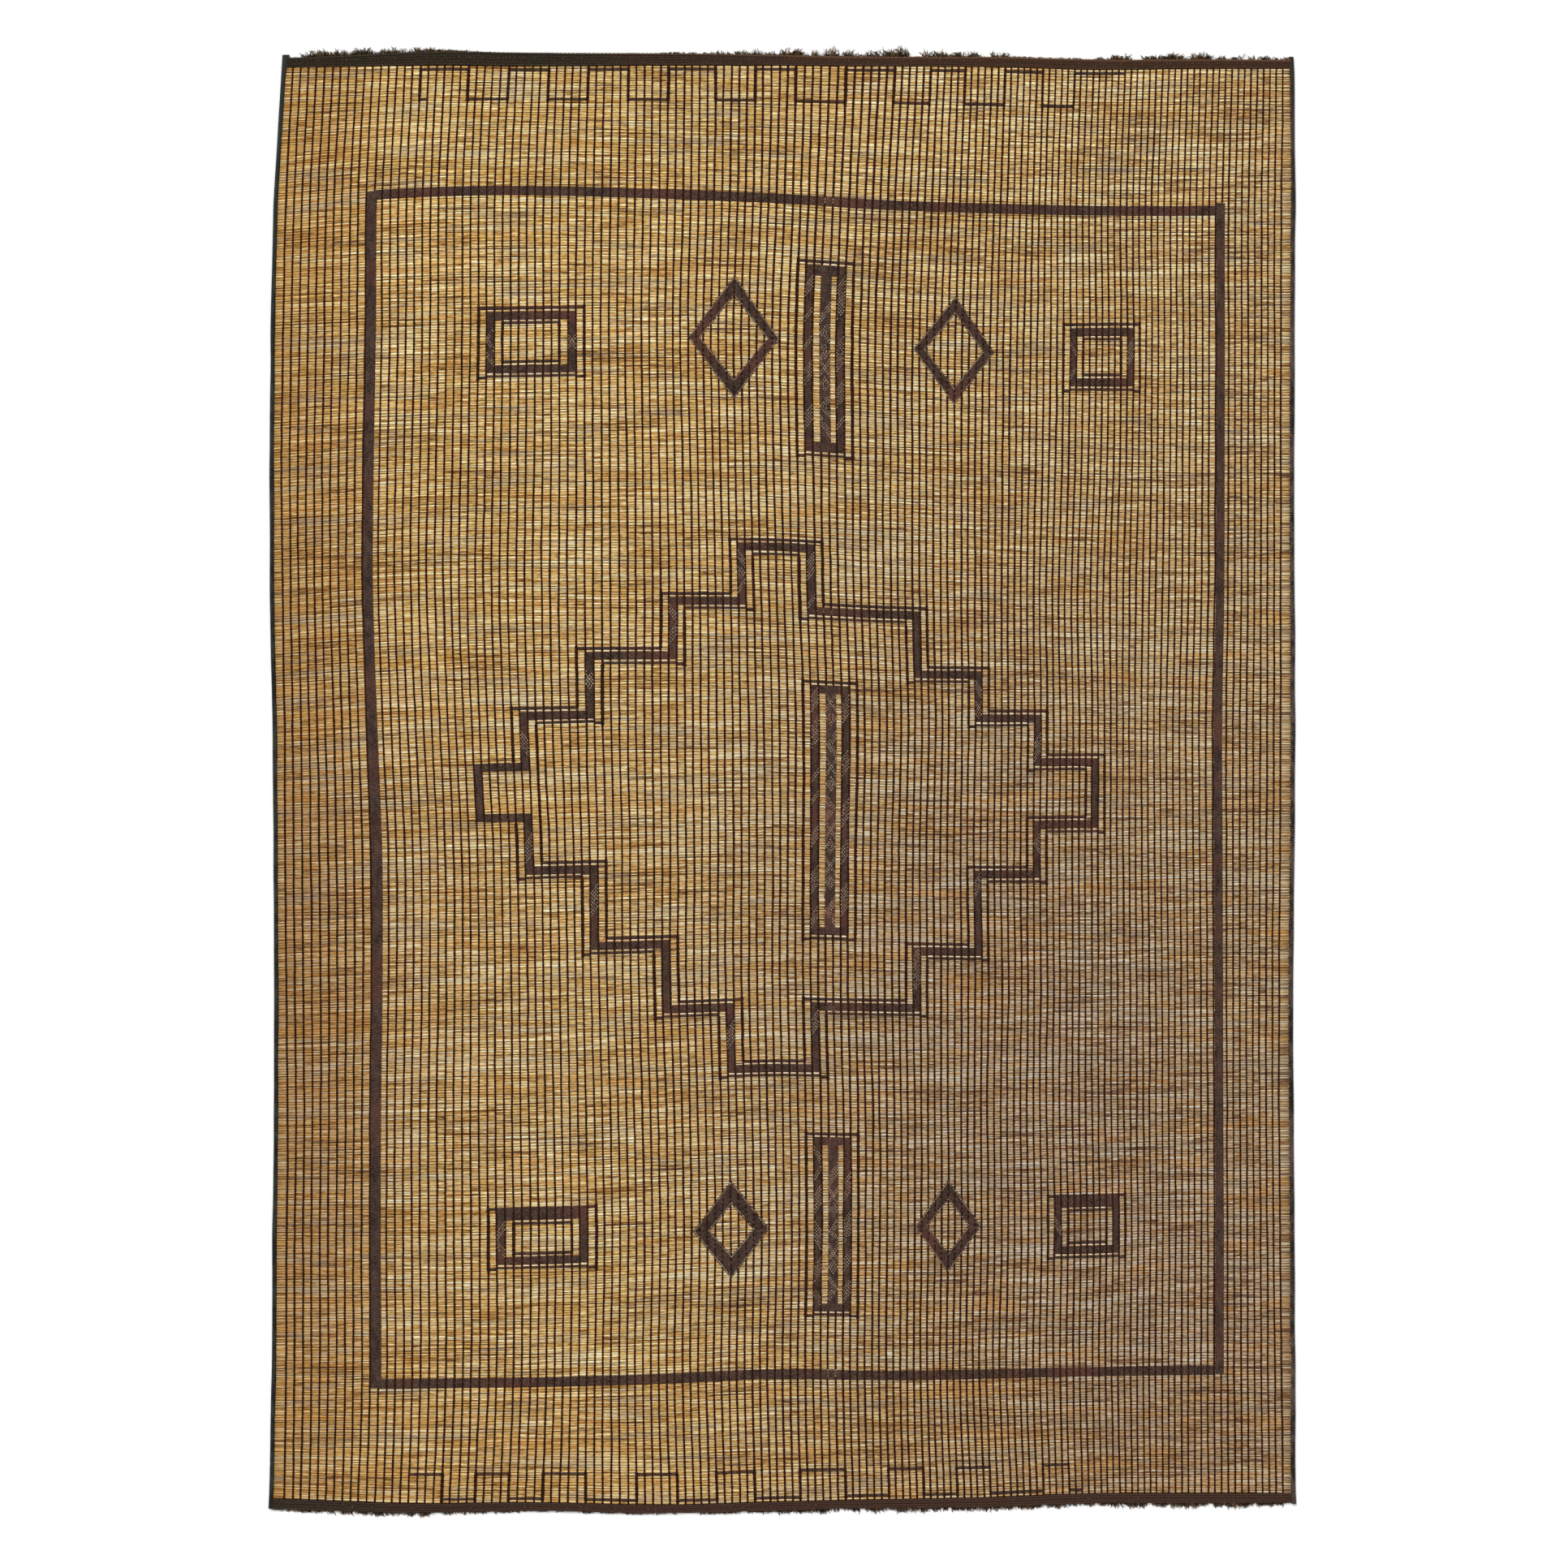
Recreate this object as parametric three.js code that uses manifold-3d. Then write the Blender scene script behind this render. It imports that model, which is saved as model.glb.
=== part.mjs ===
// Reed and leather floor mat, lying flat: a field of reeds bound by leather thongs,
// a rolled leather binding on each side, a ribbed leather heading and a short fringe at each end.
// Millimetres, +Z up, +Y towards the top end, origin at the middle of the underside.
import * as THREE from "three";
import { mergeVertices } from "three/addons/utils/BufferGeometryUtils.js";
import Module from "manifold-3d";

const wasm = await Module();
wasm.setup();

// Driving dimensions
const FIELD_THICK = 4.5;
const BAND_RISE = 0.9;
const BAND_ROOT = 2.0;
const LINE_RISE = 0.6;
const LINE_HALF = 0.15;
const BINDING_WIDTH = 9.0;
const BINDING_THICK = 6.6;
const HEADING_THICK = 6.2;
const HEADING_ROLL = 1.3;
const PIECE_GAP = 0.3;
const THONG_STEP = 15;
const REED_STEP = 50;
const LAST_THONG = 135;
const LAST_REED = 550;
const BACKING_DEPTH = 2.6;
const BACKING_THICK = 2.4;
const LOCK_WIDTH = 3.6;
const LOCK_HEIGHT = 2.2;
const TIP_SHARE = 0.3;
const MAT_CENTRE = { x: 0.769, y: -0.66 };

// How the thongs run: x of thongs 0, 15, 30 ... 135 at reeds 0, 50, 100 ... 550
const THONG_X = [
  [-964.5, -727.4, -490.9, -255.2, -20.5, 222.9, 426.9, 614.4, 800.5, 987.6],
  [-978.0, -739.8, -502.3, -257.6, -25.8, 208.7, 418.0, 605.4, 791.2, 984.2],
  [-983.1, -741.4, -503.0, -261.7, -34.7, 199.4, 410.1, 606.8, 791.3, 983.6],
  [-986.7, -745.6, -504.8, -258.0, -31.9, 199.3, 407.6, 603.0, 790.3, 983.2],
  [-984.3, -748.0, -507.7, -254.9, -26.4, 200.0, 406.6, 595.5, 788.4, 983.1],
  [-980.7, -738.8, -501.4, -255.5, -19.9, 206.9, 407.3, 598.8, 783.2, 983.1],
  [-979.7, -727.3, -490.8, -252.2, -18.5, 202.7, 404.9, 597.6, 784.7, 981.8],
  [-977.1, -726.9, -486.1, -251.5, -18.9, 202.3, 407.4, 598.4, 787.0, 979.8],
  [-974.3, -730.3, -482.8, -244.0, -13.6, 207.0, 405.0, 598.3, 787.7, 979.8],
  [-977.2, -730.1, -479.3, -240.0, -10.4, 207.0, 406.4, 602.1, 788.5, 982.0],
  [-977.5, -729.1, -480.9, -243.0, -13.6, 205.3, 402.6, 599.5, 787.2, 984.4],
  [-981.0, -737.2, -489.3, -236.8, -7.9, 211.0, 412.0, 604.6, 788.3, 987.5],
];

// How the reeds lie: y of reeds 0, 50, 100 ... 550 at thongs 0, 15, 30 ... 135
const REED_Y = [
  [1404.7, 1405.1, 1403.0, 1405.3, 1407.1, 1406.9, 1405.7, 1401.7, 1403.7, 1403.8],
  [1142.1, 1160.6, 1165.7, 1161.7, 1155.0, 1142.1, 1136.0, 1132.4, 1131.9, 1133.9],
  [882.1, 892.0, 897.7, 900.8, 899.0, 884.3, 875.3, 875.9, 876.4, 875.9],
  [616.6, 632.7, 637.8, 641.2, 642.2, 628.7, 619.2, 614.5, 611.8, 612.5],
  [365.6, 381.9, 387.9, 387.4, 385.9, 375.1, 369.5, 366.0, 365.1, 365.0],
  [102.2, 116.7, 124.1, 128.9, 129.2, 120.4, 119.3, 119.1, 114.6, 110.1],
  [-150.1, -143.5, -138.8, -132.9, -128.2, -135.2, -137.4, -135.4, -131.8, -128.6],
  [-414.8, -405.7, -400.3, -394.0, -386.4, -389.6, -391.9, -392.6, -390.6, -388.7],
  [-670.0, -663.6, -657.5, -649.0, -641.9, -644.9, -642.1, -638.2, -636.9, -632.9],
  [-922.3, -922.0, -918.7, -909.2, -899.9, -899.1, -895.9, -892.3, -886.1, -885.1],
  [-1177.7, -1173.9, -1170.9, -1164.2, -1154.8, -1156.1, -1152.6, -1148.1, -1145.0, -1144.2],
  [-1408.4, -1417.5, -1415.9, -1420.9, -1415.9, -1411.2, -1407.4, -1400.0, -1400.3, -1401.8],
];

// Outer edges of the two side bindings, from the top end to the bottom end
const SIDE_EDGE = [
  { y: 1450, left: -984.0, right: 1007.5 },
  { y: 1400, left: -987.0, right: 1010.5 },
  { y: 1140, left: -1002.4, right: 1013.0 },
  { y: 880, left: -1008.6, right: 1010.8 },
  { y: 620, left: -1010.2, right: 1009.2 },
  { y: 370, left: -1010.0, right: 1010.4 },
  { y: 110, left: -1004.6, right: 1011.6 },
  { y: -140, left: -1002.2, right: 1010.4 },
  { y: -400, left: -1000.8, right: 1007.6 },
  { y: -650, left: -1002.0, right: 1008.6 },
  { y: -905, left: -1004.2, right: 1010.4 },
  { y: -1160, left: -1006.0, right: 1012.0 },
  { y: -1400, left: -1010.4, right: 1012.8 },
  { y: -1450, left: -1014.0, right: 1016.0 },
];
const BINDING_END = { leftTop: 1431.6, rightTop: 1427.6, leftBottom: -1434.2, rightBottom: -1425.0 };

// Depth of the headings and reach of the fringe beyond its backing strip, along the width
const ENDS = [
  { thong: 0, top: 24.0, bottom: 25.9, topReach: 4.0, bottomReach: 3.5 },
  { thong: 15, top: 30.5, bottom: 18.4, topReach: 8.0, bottomReach: 8.5 },
  { thong: 30, top: 29.4, bottom: 21.0, topReach: 0.0, bottomReach: 4.0 },
  { thong: 45, top: 26.0, bottom: 17.4, topReach: 0.0, bottomReach: 4.0 },
  { thong: 60, top: 25.6, bottom: 16.4, topReach: 8.5, bottomReach: 7.0 },
  { thong: 75, top: 25.7, bottom: 15.2, topReach: 8.0, bottomReach: 11.5 },
  { thong: 90, top: 22.8, bottom: 16.6, topReach: 3.5, bottomReach: 10.0 },
  { thong: 105, top: 23.4, bottom: 17.6, topReach: 5.0, bottomReach: 11.0 },
  { thong: 120, top: 20.9, bottom: 15.7, topReach: 9.0, bottomReach: 12.0 },
  { thong: 135, top: 19.8, bottom: 17.6, topReach: 4.5, bottomReach: 8.5 },
];

// Leather bands of the field, counted in thongs across and reeds down from the top end.
// A box, a bar and the stepped medallion also have thin outlines beside their bands.
const FRAME = { left: 10, right: 126, top: 48, bottom: 505, side: 1, row: 3 };
const BOXES = [
  { left: 24, right: 37, top: 93, bottom: 120 },
  { left: 101, right: 113, top: 95, bottom: 120 },
  { left: 24, right: 37, top: 435, bottom: 459 },
  { left: 99, right: 111, top: 435, bottom: 459 },
];
const DIAMONDS = [
  { thong: 56.0, reed: 105.2, wide: 5.9, high: 23.0, innerWide: 4.4, innerHigh: 16.0 },
  { thong: 84.9, reed: 105.8, wide: 5.75, high: 20.2, innerWide: 4.1, innerHigh: 14.3 },
  { thong: 54.1, reed: 446.6, wide: 4.9, high: 18.2, innerWide: 2.8, innerHigh: 9.7 },
  { thong: 84.0, reed: 446.3, wide: 4.9, high: 17.4, innerWide: 3.1, innerHigh: 10.2 },
];
const BARS = [
  { left: 64, top: 74, bottom: 149, endRows: 4 },
  { left: 64, top: 236, bottom: 336, endRows: 3 },
  { left: 64, top: 410, bottom: 481, endRows: 3 },
];
const MEDALLION = [
  { outer: [56, 184], inner: [57, 187] },
  { outer: [66, 184], inner: [65, 187] },
  { outer: [66, 208], inner: [65, 211] },
  { outer: [80, 208], inner: [79, 211] },
  { outer: [80, 231], inner: [79, 234] },
  { outer: [89, 231], inner: [88, 234] },
  { outer: [89, 248], inner: [88, 251] },
  { outer: [98, 248], inner: [97, 251] },
  { outer: [98, 265], inner: [97, 268] },
  { outer: [107, 265], inner: [106, 268] },
  { outer: [107, 292], inner: [106, 289] },
  { outer: [98, 292], inner: [97, 289] },
  { outer: [98, 310], inner: [97, 307] },
  { outer: [89, 310], inner: [88, 307] },
  { outer: [89, 340], inner: [88, 337] },
  { outer: [80, 340], inner: [79, 337] },
  { outer: [80, 363], inner: [79, 360] },
  { outer: [66, 363], inner: [65, 360] },
  { outer: [66, 386], inner: [65, 383] },
  { outer: [54, 386], inner: [55, 383] },
  { outer: [54, 363], inner: [55, 360] },
  { outer: [46, 363], inner: [47, 360] },
  { outer: [46, 338], inner: [47, 335] },
  { outer: [37, 338], inner: [38, 335] },
  { outer: [37, 308], inner: [38, 305] },
  { outer: [29, 308], inner: [30, 305] },
  { outer: [29, 289], inner: [30, 286], tip: true },
  { outer: [23, 289], inner: [24, 286], tip: true },
  { outer: [23, 267], inner: [24, 270], tip: true },
  { outer: [29, 267], inner: [30, 270], tip: true },
  { outer: [29, 248], inner: [30, 251] },
  { outer: [37, 248], inner: [38, 251] },
  { outer: [37, 225], inner: [38, 228] },
  { outer: [47, 225], inner: [48, 228] },
  { outer: [47, 205], inner: [48, 208] },
  { outer: [56, 205], inner: [57, 208] },
];

// Smooth curve through evenly spaced values, straight beyond its ends
function smooth(values, t) {
  const last = values.length - 1;
  const k = Math.min(Math.max(Math.floor(t), 0), last - 1);
  const b = values[k];
  const c = values[k + 1];
  const a = k > 0 ? values[k - 1] : 2 * b - c;
  const d = k + 2 <= last ? values[k + 2] : 2 * c - b;
  const f = t - k;
  if (f < 0) return b + f * (c - a) / 2;
  if (f > 1) return c + (f - 1) * (d - b) / 2;
  const bend = 2 * a - 5 * b + 4 * c - d + f * (3 * (b - c) + d - a);
  return b + 0.5 * f * (c - a + f * bend);
}

// Place on the mat of a point counted in thongs and reeds
function weave(thong, reed) {
  const across = thong / THONG_STEP;
  const down = reed / REED_STEP;
  const x = smooth(THONG_X.map((row) => smooth(row, across)), down);
  const y = smooth(REED_Y.map((row) => smooth(row, across)), down);
  return new THREE.Vector2(x - MAT_CENTRE.x, y - MAT_CENTRE.y);
}

// Value of a named column of a table whose rows run along a key column
function column(table, key, name, at) {
  const sign = Math.sign(table[1][key] - table[0][key]);
  let k = 0;
  while (k < table.length - 2 && (at - table[k + 1][key]) * sign > 0) k += 1;
  const share = (at - table[k][key]) / (table[k + 1][key] - table[k][key]);
  const a = table[k][name];
  const b = table[k + 1][name];
  return a + share * (b - a);
}

function sideX(side, y, inset) {
  const edge = column(SIDE_EDGE, "y", side, y + MAT_CENTRE.y) - MAT_CENTRE.x;
  return side === "left" ? edge + inset : edge - inset;
}

// Closed geometry of one sub-part from lists of vertices and triangles
function closedGeometry(vertices, triangles) {
  const geometry = new THREE.BufferGeometry();
  geometry.setAttribute("position", new THREE.Float32BufferAttribute(vertices.flat(), 3));
  geometry.setIndex(triangles.flat());
  return geometry;
}

// Solid swept through sections that all have the same number of points, with flat ends
function loft(sections, capOutline) {
  const count = sections[0].length;
  const vertices = sections.flat();
  const triangles = [];
  for (let s = 0; s + 1 < sections.length; s += 1) {
    for (let p = 0; p < count; p += 1) {
      const q = (p + 1) % count;
      const a = s * count + p;
      const b = s * count + q;
      triangles.push([a, a + count, b], [b, a + count, b + count]);
    }
  }
  const end = (sections.length - 1) * count;
  const turn = Math.sign(THREE.ShapeUtils.area(capOutline));
  for (const [a, b, c] of THREE.ShapeUtils.triangulateShape(capOutline, [])) {
    const same = THREE.ShapeUtils.area([a, b, c].map((p) => capOutline[p])) * turn > 0;
    const [q, r] = same ? [b, c] : [c, b];
    triangles.push([a, q, r], [end + a, end + r, end + q]);
  }
  return outward(vertices, triangles);
}

// Turns every triangle round when the solid was made inside out
function outward(vertices, triangles) {
  let volume = 0;
  for (const [a, b, c] of triangles) {
    const [p, q, r] = [vertices[a], vertices[b], vertices[c]].map((v) => new THREE.Vector3(...v));
    volume += p.dot(q.cross(r));
  }
  const faces = volume < 0 ? triangles.map(([a, b, c]) => [a, c, b]) : triangles;
  return closedGeometry(vertices, faces);
}

function toSolid(geometry) {
  const bare = geometry.clone();
  bare.deleteAttribute("normal");
  bare.deleteAttribute("uv");
  const merged = mergeVertices(bare, 1e-4);
  return new wasm.Manifold(new wasm.Mesh({
    numProp: 3,
    vertProperties: new Float32Array(merged.getAttribute("position").array),
    triVerts: new Uint32Array(merged.getIndex().array),
  }));
}

function fromSolid(solid) {
  const mesh = solid.getMesh();
  const geometry = new THREE.BufferGeometry();
  geometry.setAttribute("position", new THREE.BufferAttribute(mesh.vertProperties, 3));
  geometry.setIndex(new THREE.BufferAttribute(mesh.triVerts, 1));
  return geometry;
}

// Flat plate between two heights, from an outline and its holes, all listed clockwise
function plate(outline, holes, low, high) {
  const shape = new THREE.Shape(outline);
  for (const hole of holes) shape.holes.push(new THREE.Path(hole.reverse()));
  const geometry = new THREE.ExtrudeGeometry(shape, { depth: high - low, bevelEnabled: false });
  return geometry.translate(0, 0, low);
}

// Outline on the mat of corners counted in thongs and reeds, with points along its long edges
function contour(corners, thongStride = 8, reedStride = 26) {
  const points = [];
  corners.forEach(([thong, reed], k) => {
    const [nextThong, nextReed] = corners[(k + 1) % corners.length];
    const across = Math.abs(nextThong - thong) / thongStride;
    const down = Math.abs(nextReed - reed) / reedStride;
    const steps = Math.max(1, Math.round(Math.max(across, down)));
    for (let s = 0; s < steps; s += 1) {
      const share = s / steps;
      points.push(weave(thong + share * (nextThong - thong), reed + share * (nextReed - reed)));
    }
  });
  return points;
}

function rectangle(left, right, top, bottom) {
  return [[left, top], [right, top], [right, bottom], [left, bottom]];
}

function rhomb(thong, reed, wide, high) {
  return [[thong, reed - high], [thong + wide, reed], [thong, reed + high], [thong - wide, reed]];
}

// Outlines and holes of every wide leather band of the field
function bandOutlines() {
  const bands = [];
  const { left, right, top, bottom, side, row } = FRAME;
  bands.push([rectangle(left, right, top, bottom),
    [rectangle(left + side, right - side, top + row, bottom - row)]]);
  for (const box of BOXES) {
    bands.push([rectangle(box.left + 1, box.right - 1, box.top + 2, box.bottom - 2),
      [rectangle(box.left + 2, box.right - 2, box.top + 5, box.bottom - 5)]]);
  }
  for (const d of DIAMONDS) {
    bands.push([rhomb(d.thong, d.reed, d.wide, d.high),
      [rhomb(d.thong, d.reed, d.innerWide, d.innerHigh)]]);
  }
  for (const bar of BARS) {
    const first = bar.top + 2;
    const last = bar.bottom - 2;
    const slots = [2, 4].map((slot) => rectangle(bar.left + slot, bar.left + slot + 1,
      first + bar.endRows, last - bar.endRows));
    bands.push([rectangle(bar.left + 1, bar.left + 6, first, last), slots]);
  }
  bands.push([MEDALLION.map((corner) => corner.outer), [MEDALLION.map((corner) => corner.inner)]]);
  return bands;
}

// A thin outline: one thickened thong wide at its sides, one reed deep at its ends
function lineRing(left, right, top, bottom) {
  return [rectangle(left - LINE_HALF, right + LINE_HALF, top, bottom),
    [rectangle(left + LINE_HALF, right - LINE_HALF, top + 1, bottom - 1)]];
}

// Outlines and holes of the thin lines beside the bands
function lineOutlines() {
  const lines = [];
  for (const box of BOXES) {
    lines.push(lineRing(box.left, box.right, box.top, box.bottom));
    lines.push(lineRing(box.left + 3, box.right - 3, box.top + 6, box.bottom - 6));
  }
  for (const bar of BARS) lines.push(lineRing(bar.left, bar.left + 7, bar.top, bar.bottom));
  const tip = MEDALLION.findIndex((corner) => corner.tip);
  const plain = MEDALLION.filter((corner) => !corner.tip);
  const beside = (base, thongs, reeds) => plain.map((corner) => {
    const across = Math.sign(corner.outer[0] - corner.inner[0]);
    const down = Math.sign(corner.outer[1] - corner.inner[1]);
    return [corner[base][0] + across * thongs, corner[base][1] + down * reeds];
  });
  lines.push([beside("inner", LINE_HALF - 1, -1), [beside("inner", -LINE_HALF - 1, -2)]]);
  const far = beside("outer", 1 + LINE_HALF, 2);
  const near = beside("outer", 1 - LINE_HALF, 1);
  const fromTip = (path) => [...path.slice(tip), ...path.slice(0, tip)];
  const tipThong = MEDALLION[tip].outer[0] - 1;
  const tipReeds = [MEDALLION[tip + 3].outer[1], MEDALLION[tip].outer[1]];
  lines.push([[[tipThong - LINE_HALF, tipReeds[0]], ...fromTip(far),
    [tipThong - LINE_HALF, tipReeds[1]], [tipThong + LINE_HALF, tipReeds[1]],
    ...fromTip(near).reverse(), [tipThong + LINE_HALF, tipReeds[0]]], []]);
  return lines;
}

// Points along one end of the field, from the left binding to the right one
function endLine(reed) {
  const points = [];
  const across = [];
  for (let thong = 0; thong <= LAST_THONG; thong += 5) across.push(thong);
  const first = weave(-1, reed).y;
  const last = weave(LAST_THONG + 1, reed).y;
  const inset = BINDING_WIDTH + PIECE_GAP;
  points.push({ thong: -1, at: new THREE.Vector2(sideX("left", first, inset), first) });
  for (const thong of across) points.push({ thong, at: weave(thong, reed) });
  points.push({ thong: LAST_THONG + 1, at: new THREE.Vector2(sideX("right", last, inset), last) });
  return points;
}

function sideLine(side, from, to) {
  const inset = BINDING_WIDTH + PIECE_GAP;
  const ys = SIDE_EDGE.map((row) => row.y - MAT_CENTRE.y);
  const between = ys.filter((y) => y < from - 1 && y > to + 1);
  return between.map((y) => new THREE.Vector2(sideX(side, y, inset), y));
}

function fieldGeometry() {
  const top = endLine(0).map((p) => p.at);
  const bottom = endLine(LAST_REED).map((p) => p.at);
  const left = sideLine("left", top[0].y, bottom[0].y);
  const right = sideLine("right", top[top.length - 1].y, bottom[bottom.length - 1].y);
  const outline = [...top, ...right, ...bottom.reverse(), ...left.reverse()];
  let solid = toSolid(plate(outline, [], 0, FIELD_THICK));
  for (const [outlines, rise] of [[bandOutlines(), BAND_RISE], [lineOutlines(), LINE_RISE]]) {
    for (const [edge, holes] of outlines) {
      const inner = holes.map((hole) => contour(hole));
      solid = solid.add(toSolid(plate(contour(edge), inner, BAND_ROOT, FIELD_THICK + rise)));
    }
  }
  return fromSolid(solid);
}

// Rolled side binding: a half-round strip that follows the edge of the field
function bindingGeometry(side, top, bottom) {
  const rows = SIDE_EDGE.map((row) => row.y).filter((y) => y < top - 1 && y > bottom + 1);
  const stations = [top, ...rows, bottom].map((y) => y - MAT_CENTRE.y);
  const profile = [[0, 0], [1, 0], [1, 0.62], [0.8, 0.93], [0.5, 1], [0.2, 0.93], [0, 0.62]];
  const sections = stations.map((y) => profile.map(([share, high]) => (
    [sideX(side, y, share * BINDING_WIDTH), y, high * BINDING_THICK])));
  return loft(sections, profile.map(([share, high]) => new THREE.Vector2(share * BINDING_WIDTH, high)));
}

// Ribs across a heading: share of its depth, and height as a share of its thickness
const HEADING_RIBS = [[0, 0.8], [0.1, 0.96], [0.2, 0.84], [0.3, 1], [0.4, 0.86], [0.5, 1],
  [0.6, 0.86], [0.68, 0.98], [0.76, 0.86], [0.82, 1.1], [0.9, 1.2], [0.97, 1.1], [1, 0.8]];

function headingGeometry(reed, name, out) {
  const profile = [[0, 0], ...HEADING_RIBS, [1, 0]];
  const points = endLine(reed);
  const sections = points.map(({ thong, at }, k) => {
    const depth = column(ENDS, "thong", name, thong);
    return profile.map(([share, high]) => {
      const y = at.y + out * (PIECE_GAP + share * depth);
      let x = at.x;
      if (k === 0) x = sideX("left", y, BINDING_WIDTH + PIECE_GAP);
      if (k === points.length - 1) x = sideX("right", y, BINDING_WIDTH + PIECE_GAP);
      const roll = high > 1 ? (high - 1) * HEADING_ROLL * 5 : Math.min(high, 1) * HEADING_THICK;
      return [x, y, high > 1 ? HEADING_THICK + roll : roll];
    });
  });
  const cap = profile.map(([share, high]) => new THREE.Vector2(share * 20, high * 6));
  return loft(sections, cap);
}

// Repeatable spread of values between -1 and 1
function scatter(index, salt) {
  const value = Math.sin(index * 12.9898 + salt * 78.233) * 43758.5453;
  return 2 * (value - Math.floor(value)) - 1;
}

// Fringe of one end: a narrow backing strip with flat-lying locks fused to it
function fringeGeometry(reed, depthName, reachName, out, pitch) {
  const points = endLine(reed);
  const line = points.map(({ thong, at }) => {
    const depth = column(ENDS, "thong", depthName, thong);
    return { thong, x: at.x, y: at.y + out * (2 * PIECE_GAP + depth) };
  });
  const ends = [["left", line[0]], ["right", line[line.length - 1]]];
  for (const [side, point] of ends) point.x = sideX(side, point.y, BINDING_WIDTH + 2 * PIECE_GAP);
  const profile = [[0, 0], [0, 1], [1, 0.7], [1, 0]];
  const strip = loft(line.map((p) => profile.map(([share, high]) => (
    [p.x, p.y + out * share * BACKING_DEPTH, high * BACKING_THICK]))),
  profile.map(([share, high]) => new THREE.Vector2(share, high)));
  let solid = toSolid(strip);
  const count = Math.floor((line[line.length - 1].x - line[0].x - 2 * pitch) / pitch);
  for (let k = 0; k <= count; k += 1) {
    const x = line[0].x + pitch * (k + 1 + 0.2 * scatter(k, 1));
    const thong = column(line, "x", "thong", x);
    const y = column(line, "x", "y", x) + out * 0.4 * BACKING_DEPTH;
    const reach = column(ENDS, "thong", reachName, thong) * (0.75 + 0.25 * scatter(k, 2));
    if (reach < 1.5) continue;
    const length = 0.6 * BACKING_DEPTH + reach;
    const lean = 0.25 * pitch * scatter(k, 3);
    const cut = [0, 1].map((share) => {
      const size = 1 - (1 - TIP_SHARE) * share;
      const half = 0.5 * LOCK_WIDTH * size;
      const cx = x + lean * share;
      const cy = y + out * length * share;
      return [[cx - half, cy, 0], [cx + half, cy, 0], [cx, cy, LOCK_HEIGHT * size]];
    });
    solid = solid.add(toSolid(loft(cut, cut[0].map(([px, , pz]) => new THREE.Vector2(px, pz)))));
  }
  return fromSolid(solid);
}

const REED = { color: 0xb08a4e, roughness: 0.62, metalness: 0 };
const LEATHER = { color: 0x3b302b, roughness: 0.58, metalness: 0 };
const DARK_LEATHER = { color: 0x34352f, roughness: 0.6, metalness: 0 };
const FRAYED = { color: 0x3a2f26, roughness: 0.85, metalness: 0 };

const mat = new THREE.Group();

function place(name, geometry, look) {
  const mesh = new THREE.Mesh(geometry, new THREE.MeshStandardMaterial(look));
  mesh.name = name;
  mat.add(mesh);
}

place("mat_field", fieldGeometry(), REED);
place("side_binding_left",
  bindingGeometry("left", BINDING_END.leftTop, BINDING_END.leftBottom), DARK_LEATHER);
place("side_binding_right",
  bindingGeometry("right", BINDING_END.rightTop, BINDING_END.rightBottom), LEATHER);
place("end_heading_top", headingGeometry(0, "top", 1), LEATHER);
place("end_heading_bottom", headingGeometry(LAST_REED, "bottom", -1), LEATHER);
place("end_fringe_top", fringeGeometry(0, "top", "topReach", 1, 15.5), FRAYED);
place("end_fringe_bottom", fringeGeometry(LAST_REED, "bottom", "bottomReach", -1, 14.0), FRAYED);

export default mat;
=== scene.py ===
import math
from collections import namedtuple

import bpy
import numpy as np
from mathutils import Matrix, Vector


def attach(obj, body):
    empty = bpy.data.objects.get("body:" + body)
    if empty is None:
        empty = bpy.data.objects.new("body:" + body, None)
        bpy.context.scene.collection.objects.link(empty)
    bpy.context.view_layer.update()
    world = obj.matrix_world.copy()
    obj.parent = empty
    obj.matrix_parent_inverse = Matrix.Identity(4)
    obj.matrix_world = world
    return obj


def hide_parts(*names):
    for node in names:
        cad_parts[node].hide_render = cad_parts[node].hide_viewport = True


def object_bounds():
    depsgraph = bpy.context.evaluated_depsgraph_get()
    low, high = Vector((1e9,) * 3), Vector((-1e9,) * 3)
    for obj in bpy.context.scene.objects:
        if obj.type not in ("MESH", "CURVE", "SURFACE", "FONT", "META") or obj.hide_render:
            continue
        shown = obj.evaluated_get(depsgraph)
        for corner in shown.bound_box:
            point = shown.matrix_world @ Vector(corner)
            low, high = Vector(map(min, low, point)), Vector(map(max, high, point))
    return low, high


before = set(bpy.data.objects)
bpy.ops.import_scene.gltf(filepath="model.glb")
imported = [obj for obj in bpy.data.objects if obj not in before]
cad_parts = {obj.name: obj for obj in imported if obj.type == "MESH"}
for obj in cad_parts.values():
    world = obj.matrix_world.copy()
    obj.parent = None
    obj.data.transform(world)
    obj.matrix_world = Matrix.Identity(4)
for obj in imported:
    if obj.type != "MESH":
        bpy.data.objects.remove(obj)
cad_low, cad_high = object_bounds()

# Heights above the floor and widths, in metres
MM = 0.001
REED_CREST = 4.0 * MM
REED_VALLEY = 2.9 * MM
UNDER_CREST = 0.35 * MM
UNDER_VALLEY = 1.2 * MM
THONG_TOP = 4.8 * MM
THONG_UNDER = 0.05 * MM
FILL_TOP = 4.75 * MM
FILL_ROOT = 2.6 * MM
FILL_EDGE = 0.1
BINDING_WIDTH = 9.0 * MM
BINDING_THICK = 6.6 * MM
EDGE_TUCK = 4.0 * MM
HEADING_THICK = 5.9 * MM

# Half widths of the plain and the thick thongs in thong intervals, and how much broader the plain ones get
THONG_HALF = 0.105
THICK_HALF = 0.185
BROADER_AT = [0, 40, 52, 84, 110, 135]
BROADER = [1.0, 1.0, 1.12, 1.30, 1.24, 1.16]

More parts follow.
